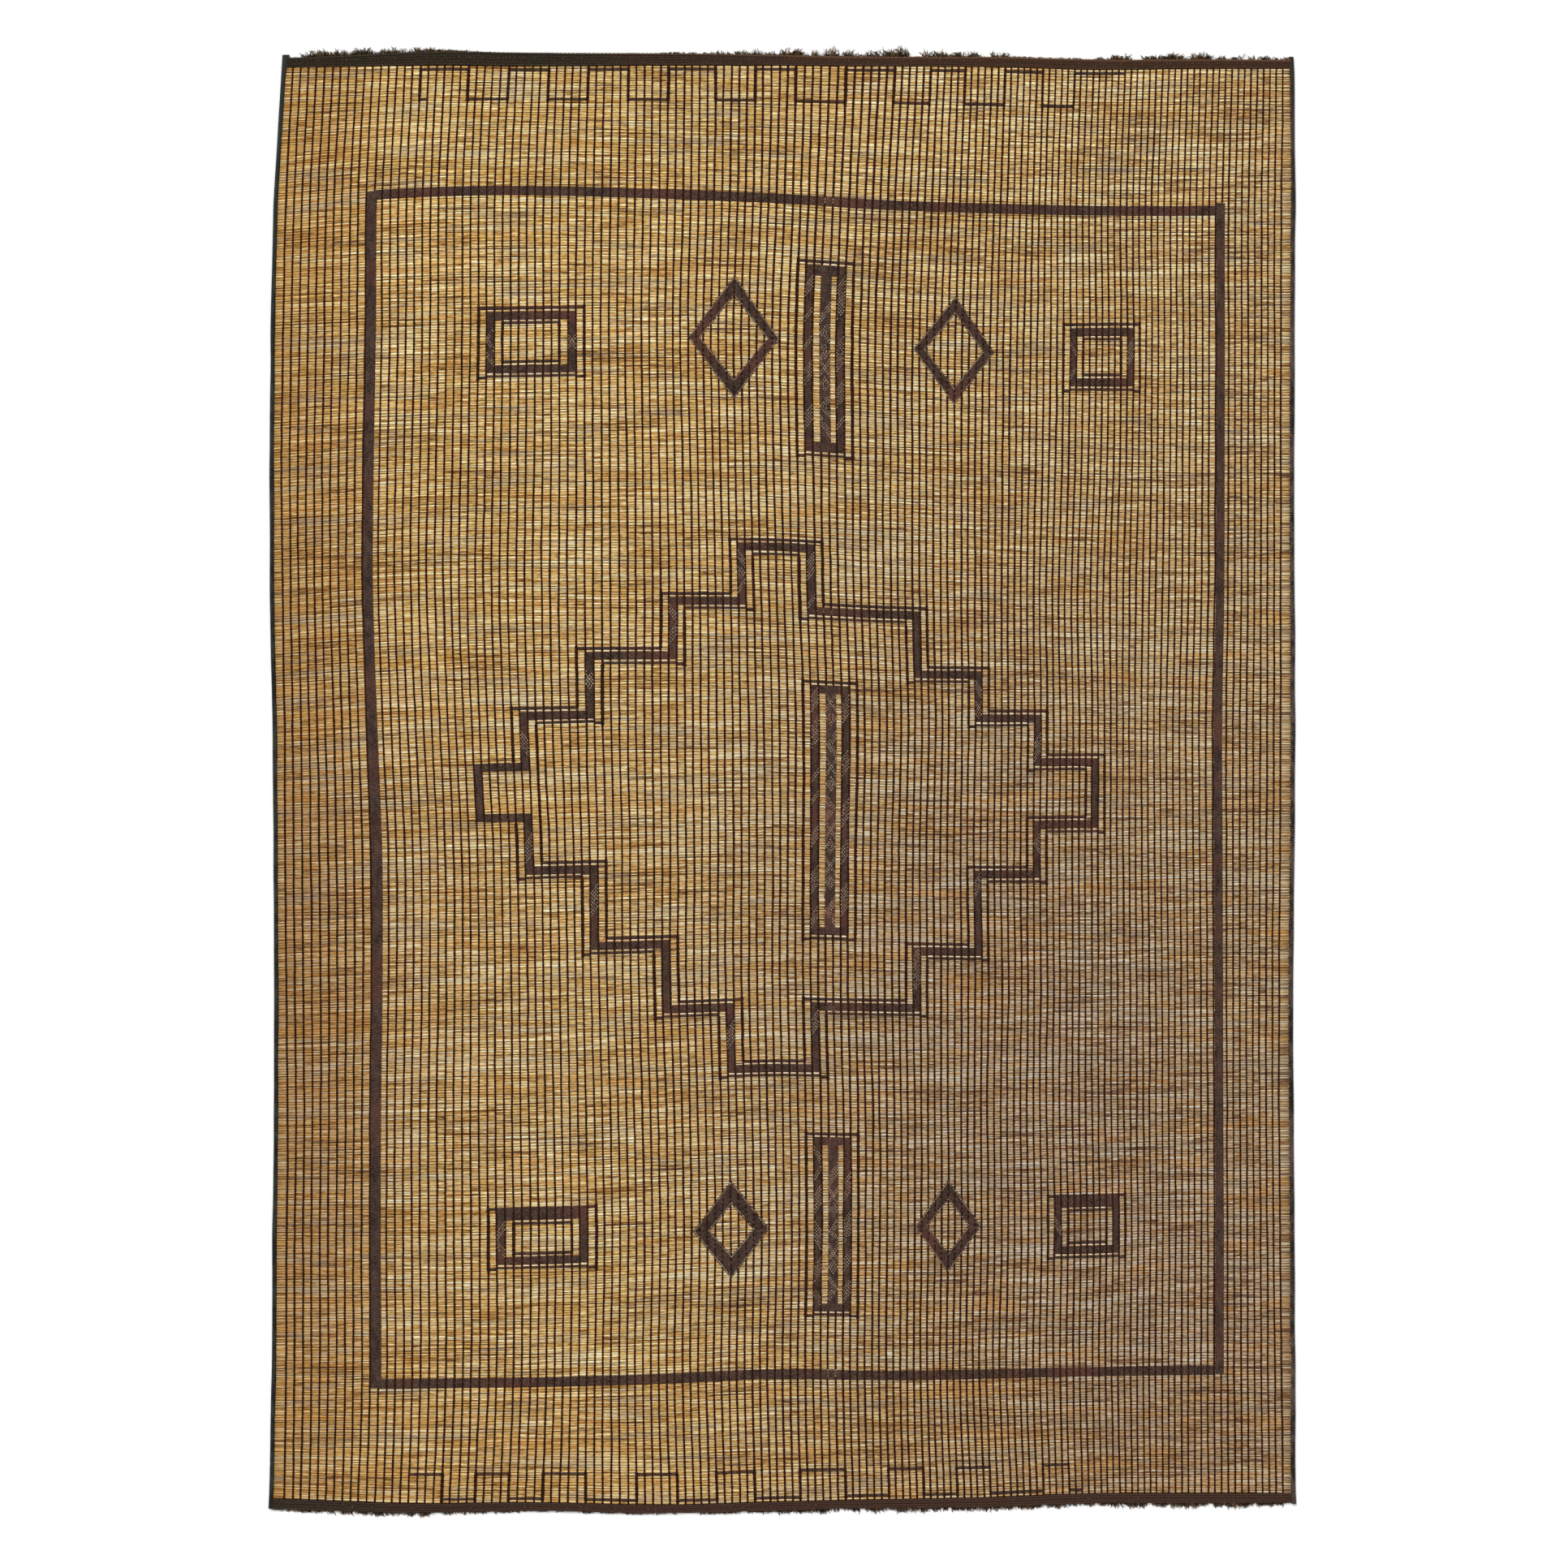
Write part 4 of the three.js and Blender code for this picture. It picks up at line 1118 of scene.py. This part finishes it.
# Lightest and heaviest clump, shortest and longest fibre, as shares of the fringe's reach
CLUMP_REACH = (0.5, 1.3)
FIBRE_LENGTH = (0.5, 1.4)
FIBRE_ROOT = 2.4 * MM
FIBRE_TUCK = 1.2 * MM
SHORTEST_REACH = 0.8 * MM
FIBRE_LEAN = 0.8
FIBRE_CURL = 3.0
FIBRE_RISE = (0.7, 4.6)
FIBRE_THICK = (0.7, 1.5)
FIBRE_MIDDLE = 0.9 * MM
FIBRE_UNEVEN = 0.5 * MM
# How a fibre goes from its root to its tip: how its curl grows, how far it sinks and how thin it gets
CURL_GROWTH = 1.4
FIBRE_SINK = 0.55
FIBRE_TAPER = 0.6
FIBRE_LOWEST, FIBRE_HIGHEST = 0.5 * MM, 6.4 * MM
FLOOR_GAP = 0.1 * MM
FRINGE_PAST_CAD = 6 * MM


def fibre_ring(x, y, z, thick, turn, out):
    """Three points round every section of the fibres."""
    ring = []
    for corner in range(3):
        angle = math.pi / 2 + corner * 2 * math.pi / 3
        across, up = math.cos(angle) * thick, math.sin(angle) * thick
        ring.append(xyz(x + across * np.cos(turn), y - across * out * np.sin(turn), z + up))
    points = np.stack(ring, axis=2)
    points[..., 1] = np.clip(points[..., 1], cad_low[1] - FRINGE_PAST_CAD, cad_high[1] + FRINGE_PAST_CAD)
    points[..., 2] = np.maximum(points[..., 2], FLOOR_GAP)
    return points


def make_fringe(name, end, finish):
    """Frayed ends of the leather: short curling fibres that start under the heading and lie on the floor."""
    rough = np.random.default_rng(end.reed + 11)
    clumps = rough.uniform(0, LAST_THONG, FIBRE_CLUMPS)
    heavy = rough.uniform(*CLUMP_REACH, FIBRE_CLUMPS)
    pick = rough.integers(0, FIBRE_CLUMPS, FIBRES)
    thong = np.clip(clumps[pick] + rough.normal(0, CLUMP_WIDTH, FIBRES), -0.5, LAST_THONG + 0.5)
    reach = end_value(end.reach, thong) * heavy[pick]
    keep = reach > SHORTEST_REACH
    thong, reach = thong[keep], reach[keep]
    total = len(thong)
    x, y = heading_line(end.reed, thong)
    y = y + end.out * (end_value(end.depth, thong) - FIBRE_TUCK)
    length = (reach + FIBRE_ROOT) * rough.uniform(*FIBRE_LENGTH, total)
    share = np.linspace(0, 1, FIBRE_SECTIONS)[None, :]
    lean = rough.normal(0, FIBRE_LEAN, total)[:, None]
    curl = rough.normal(0, FIBRE_CURL, total)[:, None]
    turn = lean + curl * share ** CURL_GROWTH
    step = length[:, None] / (FIBRE_SECTIONS - 1)
    along_x, along_y = np.sin(turn) * step, np.cos(turn) * step
    cx = x[:, None] + np.cumsum(along_x, axis=1) - along_x
    cy = y[:, None] + end.out * (np.cumsum(along_y, axis=1) - along_y)
    rise = rough.uniform(*FIBRE_RISE, total)[:, None] * MM
    uneven = FIBRE_UNEVEN * rough.normal(0, 1, (total, FIBRE_SECTIONS))
    cz = np.clip(rise * (1 - FIBRE_SINK * share) + FIBRE_MIDDLE + uneven, FIBRE_LOWEST, FIBRE_HIGHEST)
    thick = rough.uniform(*FIBRE_THICK, total)[:, None] * MM * (1 - FIBRE_TAPER * share)
    points = fibre_ring(cx, cy, cz, thick, turn, end.out)
    tone = rough.uniform(0, 1, total)[:, None, None] + np.zeros(points.shape[:3])
    faces = Faces()
    start = faces.add_points(points, xyz(thong[:, None, None], share[..., None], tone))
    index = start + np.arange(points[..., 0].size).reshape(points.shape[:3])
    after = np.roll(index, -1, axis=2)
    order = [index[:, :-1], after[:, :-1], after[:, 1:], index[:, 1:]]
    caps = (index[:, 0, ::-1], index[:, -1])
    if end.out > 0:
        order.reverse()
        caps = (index[:, 0], index[:, -1, ::-1])
    faces.add_faces(np.stack(order, axis=-1))
    for cap in caps:
        faces.add_faces(cap)
    return faces.build(name, finish)


# Finishes


def linear(red, green, blue):
    """Linear colour of an everyday 0 to 255 colour."""
    return tuple(((v / 255 + 0.055) / 1.055) ** 2.4 if v > 10 else v / 255 / 12.92
                 for v in (red, green, blue)) + (1.0,)


class Finish:
    """A material with short ways to add and join its nodes."""

    def __init__(self, name, roughness, specular=0.5):
        self.material = bpy.data.materials.new(name)
        self.material.use_nodes = True
        self.tree = self.material.node_tree
        self.shader = self.tree.nodes["Principled BSDF"]
        self.shader.inputs["Roughness"].default_value = roughness
        self.shader.inputs["Specular IOR Level"].default_value = specular
        self.place = None

    def node(self, kind, settings=None, **inputs):
        node = self.tree.nodes.new(kind)
        for key, value in (settings or {}).items():
            setattr(node, key, value)
        for key, value in inputs.items():
            self.feed(node, int(key[1:]) if key[0] == "i" and key[1:].isdigit() else key, value)
        return node

    def feed(self, node, key, value):
        socket = node.inputs[key]
        if isinstance(value, bpy.types.NodeSocket):
            self.tree.links.new(value, socket)
        elif isinstance(value, tuple) and len(value) == 4 and socket.type == "VECTOR":
            socket.default_value = value[:3]
        else:
            socket.default_value = value

    def maths(self, operation, *values):
        node = self.node("ShaderNodeMath", {"operation": operation})
        for k, value in enumerate(values):
            self.feed(node, k, value)
        return node.outputs[0]

    def plus(self, *values):
        """The sum of two or more values."""
        total = values[0]
        for value in values[1:]:
            total = self.maths("ADD", total, value)
        return total

    def less(self, a, b):
        return self.maths("SUBTRACT", a, b)

    def times(self, a, b):
        return self.maths("MULTIPLY", a, b)

    def most(self, *values):
        """The largest of two or more values."""
        largest = values[0]
        for value in values[1:]:
            largest = self.maths("MAXIMUM", largest, value)
        return largest

    def weave_place(self):
        """Thong count, reed count and tone of the point, from the piece's own attribute."""
        if self.place is None:
            tag = self.node("ShaderNodeAttribute", {"attribute_name": "weave"})
            parts = self.node("ShaderNodeSeparateXYZ", i0=tag.outputs["Vector"])
            self.place = tuple(parts.outputs)
        return self.place

    def object_place(self):
        return self.node("ShaderNodeTexCoord").outputs["Object"]

    def point(self, x, y, z=0.0):
        return self.node("ShaderNodeCombineXYZ", i0=x, i1=y, i2=z).outputs[0]

    def noise(self, at, scale, detail=2.0, rough=0.5):
        node = self.node("ShaderNodeTexNoise", Vector=at, Scale=scale, Detail=detail, Roughness=rough)
        return node.outputs["Fac"]

    def ramp(self, fac, stops):
        node = self.node("ShaderNodeValToRGB", Fac=fac)
        ends = node.color_ramp.elements
        while len(ends) < len(stops):
            ends.new(0.5)
        for end, (at, colour) in zip(ends, stops):
            end.position = at
            end.color = colour
        return node.outputs["Color"]

    def spread(self, value, low, high, to_low=0.0, to_high=1.0):
        """The value's range low to high laid out on to_low to to_high, and held beyond it."""
        node = self.node("ShaderNodeMapRange", Value=value)
        for key, amount in zip(("From Min", "From Max", "To Min", "To Max"), (low, high, to_low, to_high)):
            node.inputs[key].default_value = amount
        return node.outputs["Result"]

    def mix(self, fac, a, b, blend="MIX"):
        node = self.node("ShaderNodeMix", {"data_type": "RGBA", "blend_type": blend})
        self.feed(node, 0, fac)
        self.feed(node, 6, a)
        self.feed(node, 7, b)
        return node.outputs[2]

    def blob(self, x, y, wide, high):
        """1 at the middle of a soft oval place of the mat, 0 outside it."""
        parts = self.node("ShaderNodeSeparateXYZ", i0=self.object_place())
        across = self.maths("DIVIDE", self.less(parts.outputs[0], x), wide)
        along = self.maths("DIVIDE", self.less(parts.outputs[1], y), high)
        away = self.plus(self.times(across, across), self.times(along, along))
        return self.maths("POWER", 2.718, self.times(away, -1.0))

    def finish(self, colour, bump=None, strength=0.3, distance=0.0005, roughness=None):
        self.tree.links.new(colour, self.shader.inputs["Base Color"])
        if roughness is not None:
            self.tree.links.new(roughness, self.shader.inputs["Roughness"])
        if bump is not None:
            node = self.node("ShaderNodeBump", Height=bump, Strength=strength, Distance=distance)
            self.tree.links.new(node.outputs[0], self.shader.inputs["Normal"])
        return self.material


# Turns of the twisted strips in a heading, as an angle for each thong interval
TWINE_TURN = 18.85

# Streaks in the reeds: how fast they change along and across, layer of the noise, and share of the tone
REED_STREAKS = (
    (1.4, 2.9, 11.0, 0.80), (0.35, 6.1, 8.0, 0.90), (0.12, 2.6, 6.0, 1.00), (0.03, 0.10, 9.0, 0.30),
)
REED_TONE = 0.61
REED_COLOURS = (
    (0.06, (84, 46, 20)), (0.24, (142, 94, 38)), (0.42, (186, 138, 64)), (0.56, (212, 167, 86)),
    (0.70, (232, 192, 112)), (0.84, (246, 218, 148)), (0.96, (255, 246, 198)),
)


def drawn_out(f, along, across, length, count, layer, detail=1.0):
    """Noise about 0 that changes slowly along the reeds and quickly from one to the next."""
    at = f.point(f.times(along, length), f.times(across, count), layer)
    return f.less(f.noise(at, 1.0, detail), 0.5)


def reed_tone(f, thong, reed, dull):
    """Lightness of the reeds, from cell to cell and in streaks, with single pale lines that are partly
    painted highlight and single dark lines that are partly painted shade.
    """
    stem = f.maths("FLOOR", reed)
    half_stem = f.maths("FLOOR", f.times(reed, 2.0))
    cell = drawn_out(f, f.maths("FLOOR", thong), reed, 5.3, 2.3, 10.0)
    streaks = [f.times(drawn_out(f, thong, reed, *streak), share) for *streak, share in REED_STREAKS]
    whole_stem = drawn_out(f, thong, stem, 0.09, 3.71, 5.0)
    # The pale lines are partly pale stems and partly a painted highlight; the dark lines are partly dark
    # stems and partly painted shade.
    pale_line_and_highlight = f.spread(drawn_out(f, thong, half_stem, 0.045, 5.37, 4.0), 0.10, 0.20, 0.0, 0.30)
    dark_line_and_shade = f.spread(drawn_out(f, thong, half_stem, 0.06, 4.19, 12.0), 0.10, 0.19, 0.0, -0.34)
    tone = f.plus(f.times(cell, 1.25), *streaks, f.times(whole_stem, 0.35), pale_line_and_highlight, dark_line_and_shade)
    more_to_the_right = f.spread(thong, 10.0, 118.0, 1.16, 1.5)
    more_at_the_edge = f.spread(thong, 122.0, 130.0, 0.0, 0.5)
    contrast = f.plus(more_to_the_right, f.times(dull, 0.12), more_at_the_edge)
    return f.plus(f.times(tone, contrast), REED_TONE)


def reed_colour(f, thong, reed):
    """Golden reeds, paler to the right, duller in one large place right of the middle, with painted shade in
    two large places at the lower left and the lower right, warmer and greyer in streaks.
    """
    dull = f.blob(0.45, -0.48, 0.72, 0.95)
    colour = f.ramp(reed_tone(f, thong, reed, dull), [(at, linear(*shade)) for at, shade in REED_COLOURS])
    paled = f.mix(f.spread(thong, 20.0, 120.0, 0.0, 0.20), colour, linear(184, 160, 128))
    dulled = f.mix(f.times(dull, 0.95), paled, linear(206, 207, 240), "MULTIPLY")
    left_margin = f.spread(thong, 13.0, 5.0)
    right_margin = f.spread(thong, 123.0, 131.0, 0.0, 0.5)
    bottom_margin = f.spread(reed, 498.0, 512.0, 0.0, 0.5)
    margin = f.most(left_margin, right_margin, bottom_margin)
    bordered = f.mix(margin, dulled, linear(232, 220, 206), "MULTIPLY")
    # Painted shade: the reeds are darkened and cooled in two large places, at the lower left and the lower
    # right.
    shade_lower_left = f.blob(-0.98, -0.5, 0.42, 0.95)
    shade_lower_right = f.times(f.blob(0.85, -1.2, 0.5, 0.5), 0.85)
    painted_low_shade = f.mix(f.most(shade_lower_left, shade_lower_right), bordered, linear(222, 221, 243), "MULTIPLY")
    narrow_hue = drawn_out(f, thong, reed, 0.16, 0.45, 3.0, 2.0)
    wide_hue = drawn_out(f, thong, reed, 0.05, 0.16, 2.0, 2.0)
    hue = f.plus(narrow_hue, wide_hue)
    warm = f.mix(f.spread(hue, 0.03, 0.26, 0.0, 0.42), painted_low_shade, linear(200, 140, 62))
    return f.mix(f.spread(hue, -0.03, -0.26, 0.0, 0.42), warm, linear(176, 166, 142))


def reed_finish():
    """Split reed: golden stems that differ one by one, with fine splits, pale streaks, painted shade in the
    gaps between the stems and painted shade where they run in under the thongs.
    """
    f = Finish("reed", 0.55, 0.12)
    thong, reed, _ = f.weave_place()
    colour = reed_colour(f, thong, reed)
    # Painted shade: the colour darkens in the gaps between the reeds, deeper at some gaps than at others.
    from_crest = f.maths("ABSOLUTE", f.less(f.maths("FRACT", reed), 0.5))
    depth = drawn_out(f, thong, f.maths("ROUND", reed), 0.10, 4.19, 7.0)
    gap_shade = f.times(f.spread(from_crest, 0.27, 0.42), f.spread(depth, -0.14, 0.12, 0.30, 1.0))
    gap_shaded = f.mix(f.times(gap_shade, 0.94), colour, linear(58, 32, 15))
    # Painted shade: the reeds darken where they run in under each thong.
    from_middle = f.maths("ABSOLUTE", f.less(f.maths("FRACT", thong), 0.5))
    thong_shaded = f.mix(f.spread(from_middle, 0.36, 0.44, 0.0, 0.6), gap_shaded, linear(62, 36, 19))
    fibre = f.noise(f.point(f.times(thong, 1.3), f.times(reed, 9.0)), 1.0, 3.0, 0.6)
    fibred = f.mix(f.spread(fibre, 0.3, 0.7, 0.0, 0.25), thong_shaded, linear(120, 80, 44), "MULTIPLY")
    bump = f.plus(f.times(fibre, 0.5), f.times(gap_shade, -0.6))
    return f.finish(fibred, bump, 0.5, 0.0005, f.spread(fibre, 0.3, 0.7, 0.42, 0.68))


def pale_spots(f, thong, reed, level):
    """Worn specks of a strip, a little stronger on the bands that lie level with the reeds."""
    grid = f.point(f.times(thong, 5.0), f.times(reed, 2.0))
    settings = {"voronoi_dimensions": "2D"}
    dots = f.node("ShaderNodeTexVoronoi", settings, Vector=grid, Scale=1.0, Randomness=0.6)
    chosen = f.node("ShaderNodeSeparateColor", i0=dots.outputs["Color"]).outputs[0]
    spot = f.times(f.spread(dots.outputs["Distance"], 0.42, 0.2), f.spread(chosen, 0.35, 0.95))
    return f.times(spot, f.spread(level, 0.0, 1.0, 0.28, 0.42))


def leather_finish(name, dark, light, red, stretch, grain=0.4, spots=None):
    """Worn dyed leather strips: patches of tone, reddish places and a fine grain."""
    f = Finish(name, 0.5, 0.04)
    thong, reed, level = f.weave_place()
    at = f.point(f.times(thong, stretch[0]), f.times(reed, stretch[1]))
    patch = f.noise(at, 0.33, 3.0, 0.6)
    fine = f.noise(at, 6.0, 3.0, 0.65)
    tone = f.plus(f.times(patch, 1.0 - grain), f.times(fine, grain))
    colour = f.ramp(tone, [(0.36, dark), (0.66, light)])
    rust = f.noise(f.point(f.times(thong, 0.12), f.times(reed, 0.05), 4.0), 1.0, 2.0)
    colour = f.mix(f.spread(rust, 0.48, 0.68, 0.0, 0.75), colour, red)
    if spots is not None:
        colour = f.mix(pale_spots(f, thong, reed, level), colour, spots)
    slant = f.maths("SINE", f.times(f.plus(reed, f.times(thong, 0.8)), 2 * math.pi))
    bump = f.plus(f.times(slant, 0.25), fine)
    return f.finish(colour, bump, 0.45, 0.0006, f.spread(fine, 0.3, 0.7, 0.4, 0.65))


def stitch_finish(name, dark, middle, light):
    """Thread or split reed, each stitch of its own tone."""
    f = Finish(name, 0.6, 0.1)
    _, _, tone = f.weave_place()
    return f.finish(f.ramp(tone, [(0.0, dark), (0.5, middle), (1.0, light)]))


def binding_finish(name, base, worn, tip, tip_at):
    """Dark rolled leather with a wrinkled grain, worn in mottled patches and tinted near one end."""
    f = Finish(name, 0.5, 0.12)
    at = f.object_place()
    grain = f.noise(at, 420.0, 4.0, 0.65)
    drawn_in = f.node("ShaderNodeMapping", Vector=at, Scale=(90.0, 38.0, 90.0)).outputs[0]
    wrinkle = f.noise(drawn_in, 1.0, 3.0)
    patch = f.noise(at, 9.0, 2.0)
    mottle = f.plus(f.times(wrinkle, 0.4), f.times(grain, 0.4), f.times(patch, 0.2))
    colour = f.ramp(mottle, [(0.45, base), (0.56, worn)])
    parts = f.node("ShaderNodeSeparateXYZ", i0=at)
    colour = f.mix(f.spread(parts.outputs[1], tip_at - 0.5, tip_at + 0.3), colour, tip)
    slant = f.plus(parts.outputs[1], f.times(parts.outputs[0], 0.8))
    twist = f.maths("SINE", f.plus(f.times(slant, 1150.0), f.times(wrinkle, 4.0)))
    colour = f.mix(f.spread(twist, 0.1, -0.8, 0.0, 0.45), colour, base)
    bump = f.plus(f.times(twist, 0.35), wrinkle, f.times(grain, 0.3))
    return f.finish(colour, bump, 0.6, 0.0012, f.spread(grain, 0.3, 0.7, 0.4, 0.62))


def heading_finish(name, left, right, groove_shade, thread, turn_at, ribs):
    """Heading leather: one colour at the left, another from thong turn_at on, with painted shade in the
    grooves between the ribs.
    """
    f = Finish(name, 0.6, 0.07)
    thong, share, _ = f.weave_place()
    patch = f.noise(f.point(f.times(thong, 0.08), f.times(share, 1.5)), 1.0, 3.0)
    across = f.plus(thong, f.times(patch, 60.0))
    base = f.mix(f.spread(across, turn_at, turn_at + 40.0), left, right)
    rib = f.maths("ABSOLUTE", f.maths("SINE", f.times(share, math.pi * ribs)))
    # Painted shade: the colour darkens in the grooves between the ribs.
    groove_shaded = f.mix(f.spread(rib, 0.55, 0.12, 0.0, 0.85), base, groove_shade)
    flick = f.noise(f.point(f.times(thong, 5.0), f.times(share, 14.0)), 1.0, 3.0, 0.6)
    threads = f.mix(f.spread(flick, 0.52, 0.72, 0.0, 0.7), groove_shaded, thread)
    twine = f.maths("SINE", f.times(f.plus(thong, f.times(share, 1.2)), TWINE_TURN))
    bump = f.plus(f.times(twine, 0.4), flick)
    return f.finish(threads, bump, 0.6, 0.0010, f.spread(flick, 0.3, 0.7, 0.45, 0.7))


def fringe_finish(name, stops):
    """Frayed leather, with painted shade where the fibres come out from under the heading."""
    f = Finish(name, 0.75, 0.06)
    _, along, tone = f.weave_place()
    colour = f.ramp(tone, stops)
    # Painted shade: the fibres darken towards their roots, under the heading's edge.
    return f.finish(f.mix(f.spread(along, 0.4, 0.0, 0.0, 0.6), colour, linear(22, 18, 14)))


def floor_finish():
    """A plain pale studio floor."""
    f = Finish("pale_floor", 0.85, 0.2)
    cloud = f.noise(f.object_place(), 1.3, 2.0)
    return f.finish(f.ramp(cloud, [(0.3, linear(244, 244, 243)), (0.7, linear(250, 250, 249))]))


# Camera, floor and light

CAMERA_FOCUS = (3.23 * MM, -5.74 * MM)
CAMERA_HEIGHT = 8.591
LENS_LENGTH = 100
SENSOR_WIDTH = 36
FARTHEST_SEEN = 60
FLOOR_SIZE = 24
SKY_STRENGTH = 0.55
# Two soft suns: name, where it shines from, strength and softness in degrees
SUNS = (("key", (-0.55, 1.0, 1.25), 2.3, 24), ("fill", (1.0, -0.4, 1.6), 0.35, 40))
SUN_DISTANCE = 4


def make_camera():
    """The camera looks straight down on the mat."""
    lens = bpy.data.cameras.new("camera")
    lens.lens = LENS_LENGTH
    lens.sensor_width = SENSOR_WIDTH
    lens.clip_end = FARTHEST_SEEN
    camera = bpy.data.objects.new("camera", lens)
    camera.location = (*CAMERA_FOCUS, CAMERA_HEIGHT)
    bpy.context.scene.collection.objects.link(camera)
    bpy.context.scene.camera = camera


def make_room(finish):
    """Floor, pale surroundings and two soft suns."""
    bpy.ops.object.select_all(action="DESELECT")
    bpy.ops.mesh.primitive_plane_add(size=FLOOR_SIZE, location=(0, 0, 0))
    floor = bpy.context.object
    floor.name = floor.data.name = "floor"
    floor.data.materials.append(finish)
    world = bpy.data.worlds.new("studio")
    world.use_nodes = True
    sky = world.node_tree.nodes["Background"]
    sky.inputs["Color"].default_value = (1, 1, 1, 1)
    sky.inputs["Strength"].default_value = SKY_STRENGTH
    bpy.context.scene.world = world
    for name, place, strength, softness in SUNS:
        lamp = bpy.data.lights.new(name, "SUN")
        lamp.energy = strength
        lamp.angle = math.radians(softness)
        light = bpy.data.objects.new(name, lamp)
        light.rotation_euler = Vector(place).to_track_quat("Z", "Y").to_euler()
        light.location = Vector(place) * SUN_DISTANCE
        bpy.context.scene.collection.objects.link(light)
    bpy.context.scene.view_settings.view_transform = "Standard"


make_camera()
make_room(floor_finish())

reed = reed_finish()
thong_leather = leather_finish(
    "thong_leather", linear(10, 4, 2), linear(62, 33, 19), linear(46, 20, 11), (1.0, 0.5), grain=0.65)
strip_leather = leather_finish(
    "strip_leather", linear(34, 24, 21), linear(76, 58, 51), linear(82, 51, 42), (3.0, 0.5),
    spots=linear(150, 124, 102))
light_stitch = stitch_finish(
    "light_stitch", linear(176, 140, 104), linear(218, 190, 156), linear(246, 232, 208))
brown_stitch = stitch_finish(
    "brown_stitch", linear(86, 60, 42), linear(132, 98, 68), linear(182, 148, 108))
left_leather = binding_finish(
    "left_roll", linear(20, 22, 19), linear(50, 52, 46), linear(42, 49, 45), 1.25)
right_leather = binding_finish(
    "right_roll", linear(26, 21, 19), linear(86, 73, 66), linear(44, 36, 33), 1.3)
top_leather = heading_finish(
    "top_heading_leather", linear(38, 35, 26), linear(64, 43, 32), linear(10, 8, 7), linear(106, 80, 54),
    60.0, TOP_RIBS)
bottom_leather = heading_finish(
    "bottom_heading_leather", linear(46, 38, 31), linear(62, 42, 34), linear(9, 7, 6), linear(108, 82, 58),
    30.0, BOTTOM_RIBS)
# On the cord the heading finish's painted groove shade darkens its two sides and leaves its top and
# underside light.
cord_leather = heading_finish(
    "cord_leather", linear(46, 44, 34), linear(92, 64, 48), linear(20, 14, 10), linear(128, 98, 70), 60.0, 2)
top_fray = fringe_finish("top_fray", [
    (0.0, linear(26, 23, 15)), (0.40, linear(50, 42, 27)), (0.66, linear(76, 62, 38)),
    (0.84, linear(104, 66, 36)), (1.0, linear(140, 112, 72))])
bottom_fray = fringe_finish("bottom_fray", [
    (0.0, linear(24, 20, 16)), (0.45, linear(52, 41, 31)), (0.75, linear(86, 62, 42)),
    (1.0, linear(140, 104, 68))])

reeds = make_reeds(reed)
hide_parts("mat_field")
thongs = [
    make_thongs(name, first, last, thong_leather)
    for name, first, last in (
        ("thongs_left", 0, 46), ("thongs_middle", 46, 91), ("thongs_right", 91, LAST_THONG + 1))
]
pattern = make_pattern(strip_leather)
skips = make_skips(light_stitch)
for piece in (*thongs, pattern, skips):
    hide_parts("mat_field")

binding_left = make_binding("left", "binding_left", left_leather)
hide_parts("side_binding_left")
binding_right = make_binding("right", "binding_right", right_leather)
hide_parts("side_binding_right")

heading_top = make_heading("heading_top", TOP, TOP_RIBS, top_leather)
heading_bottom = make_heading("heading_bottom", BOTTOM, BOTTOM_RIBS, bottom_leather)
cord_top = make_cord("heading_cord_top", TOP, cord_leather)
stitches_top = make_heading_stitches("heading_stitches_top", TOP, TOP_ROWS, brown_stitch)
stitches_bottom = make_heading_stitches("heading_stitches_bottom", BOTTOM, BOTTOM_ROWS, brown_stitch)
stitches_right = make_side_stitches("binding_stitches_right", "right", brown_stitch)
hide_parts("side_binding_right")
for piece, node in (
    (heading_top, "end_heading_top"), (cord_top, "end_heading_top"), (stitches_top, "end_heading_top"),
    (heading_bottom, "end_heading_bottom"), (stitches_bottom, "end_heading_bottom"),
):
    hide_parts(node)

fringe_top = make_fringe("fringe_top", TOP, top_fray)
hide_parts("end_fringe_top")
fringe_bottom = make_fringe("fringe_bottom", BOTTOM, bottom_fray)
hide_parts("end_fringe_bottom")
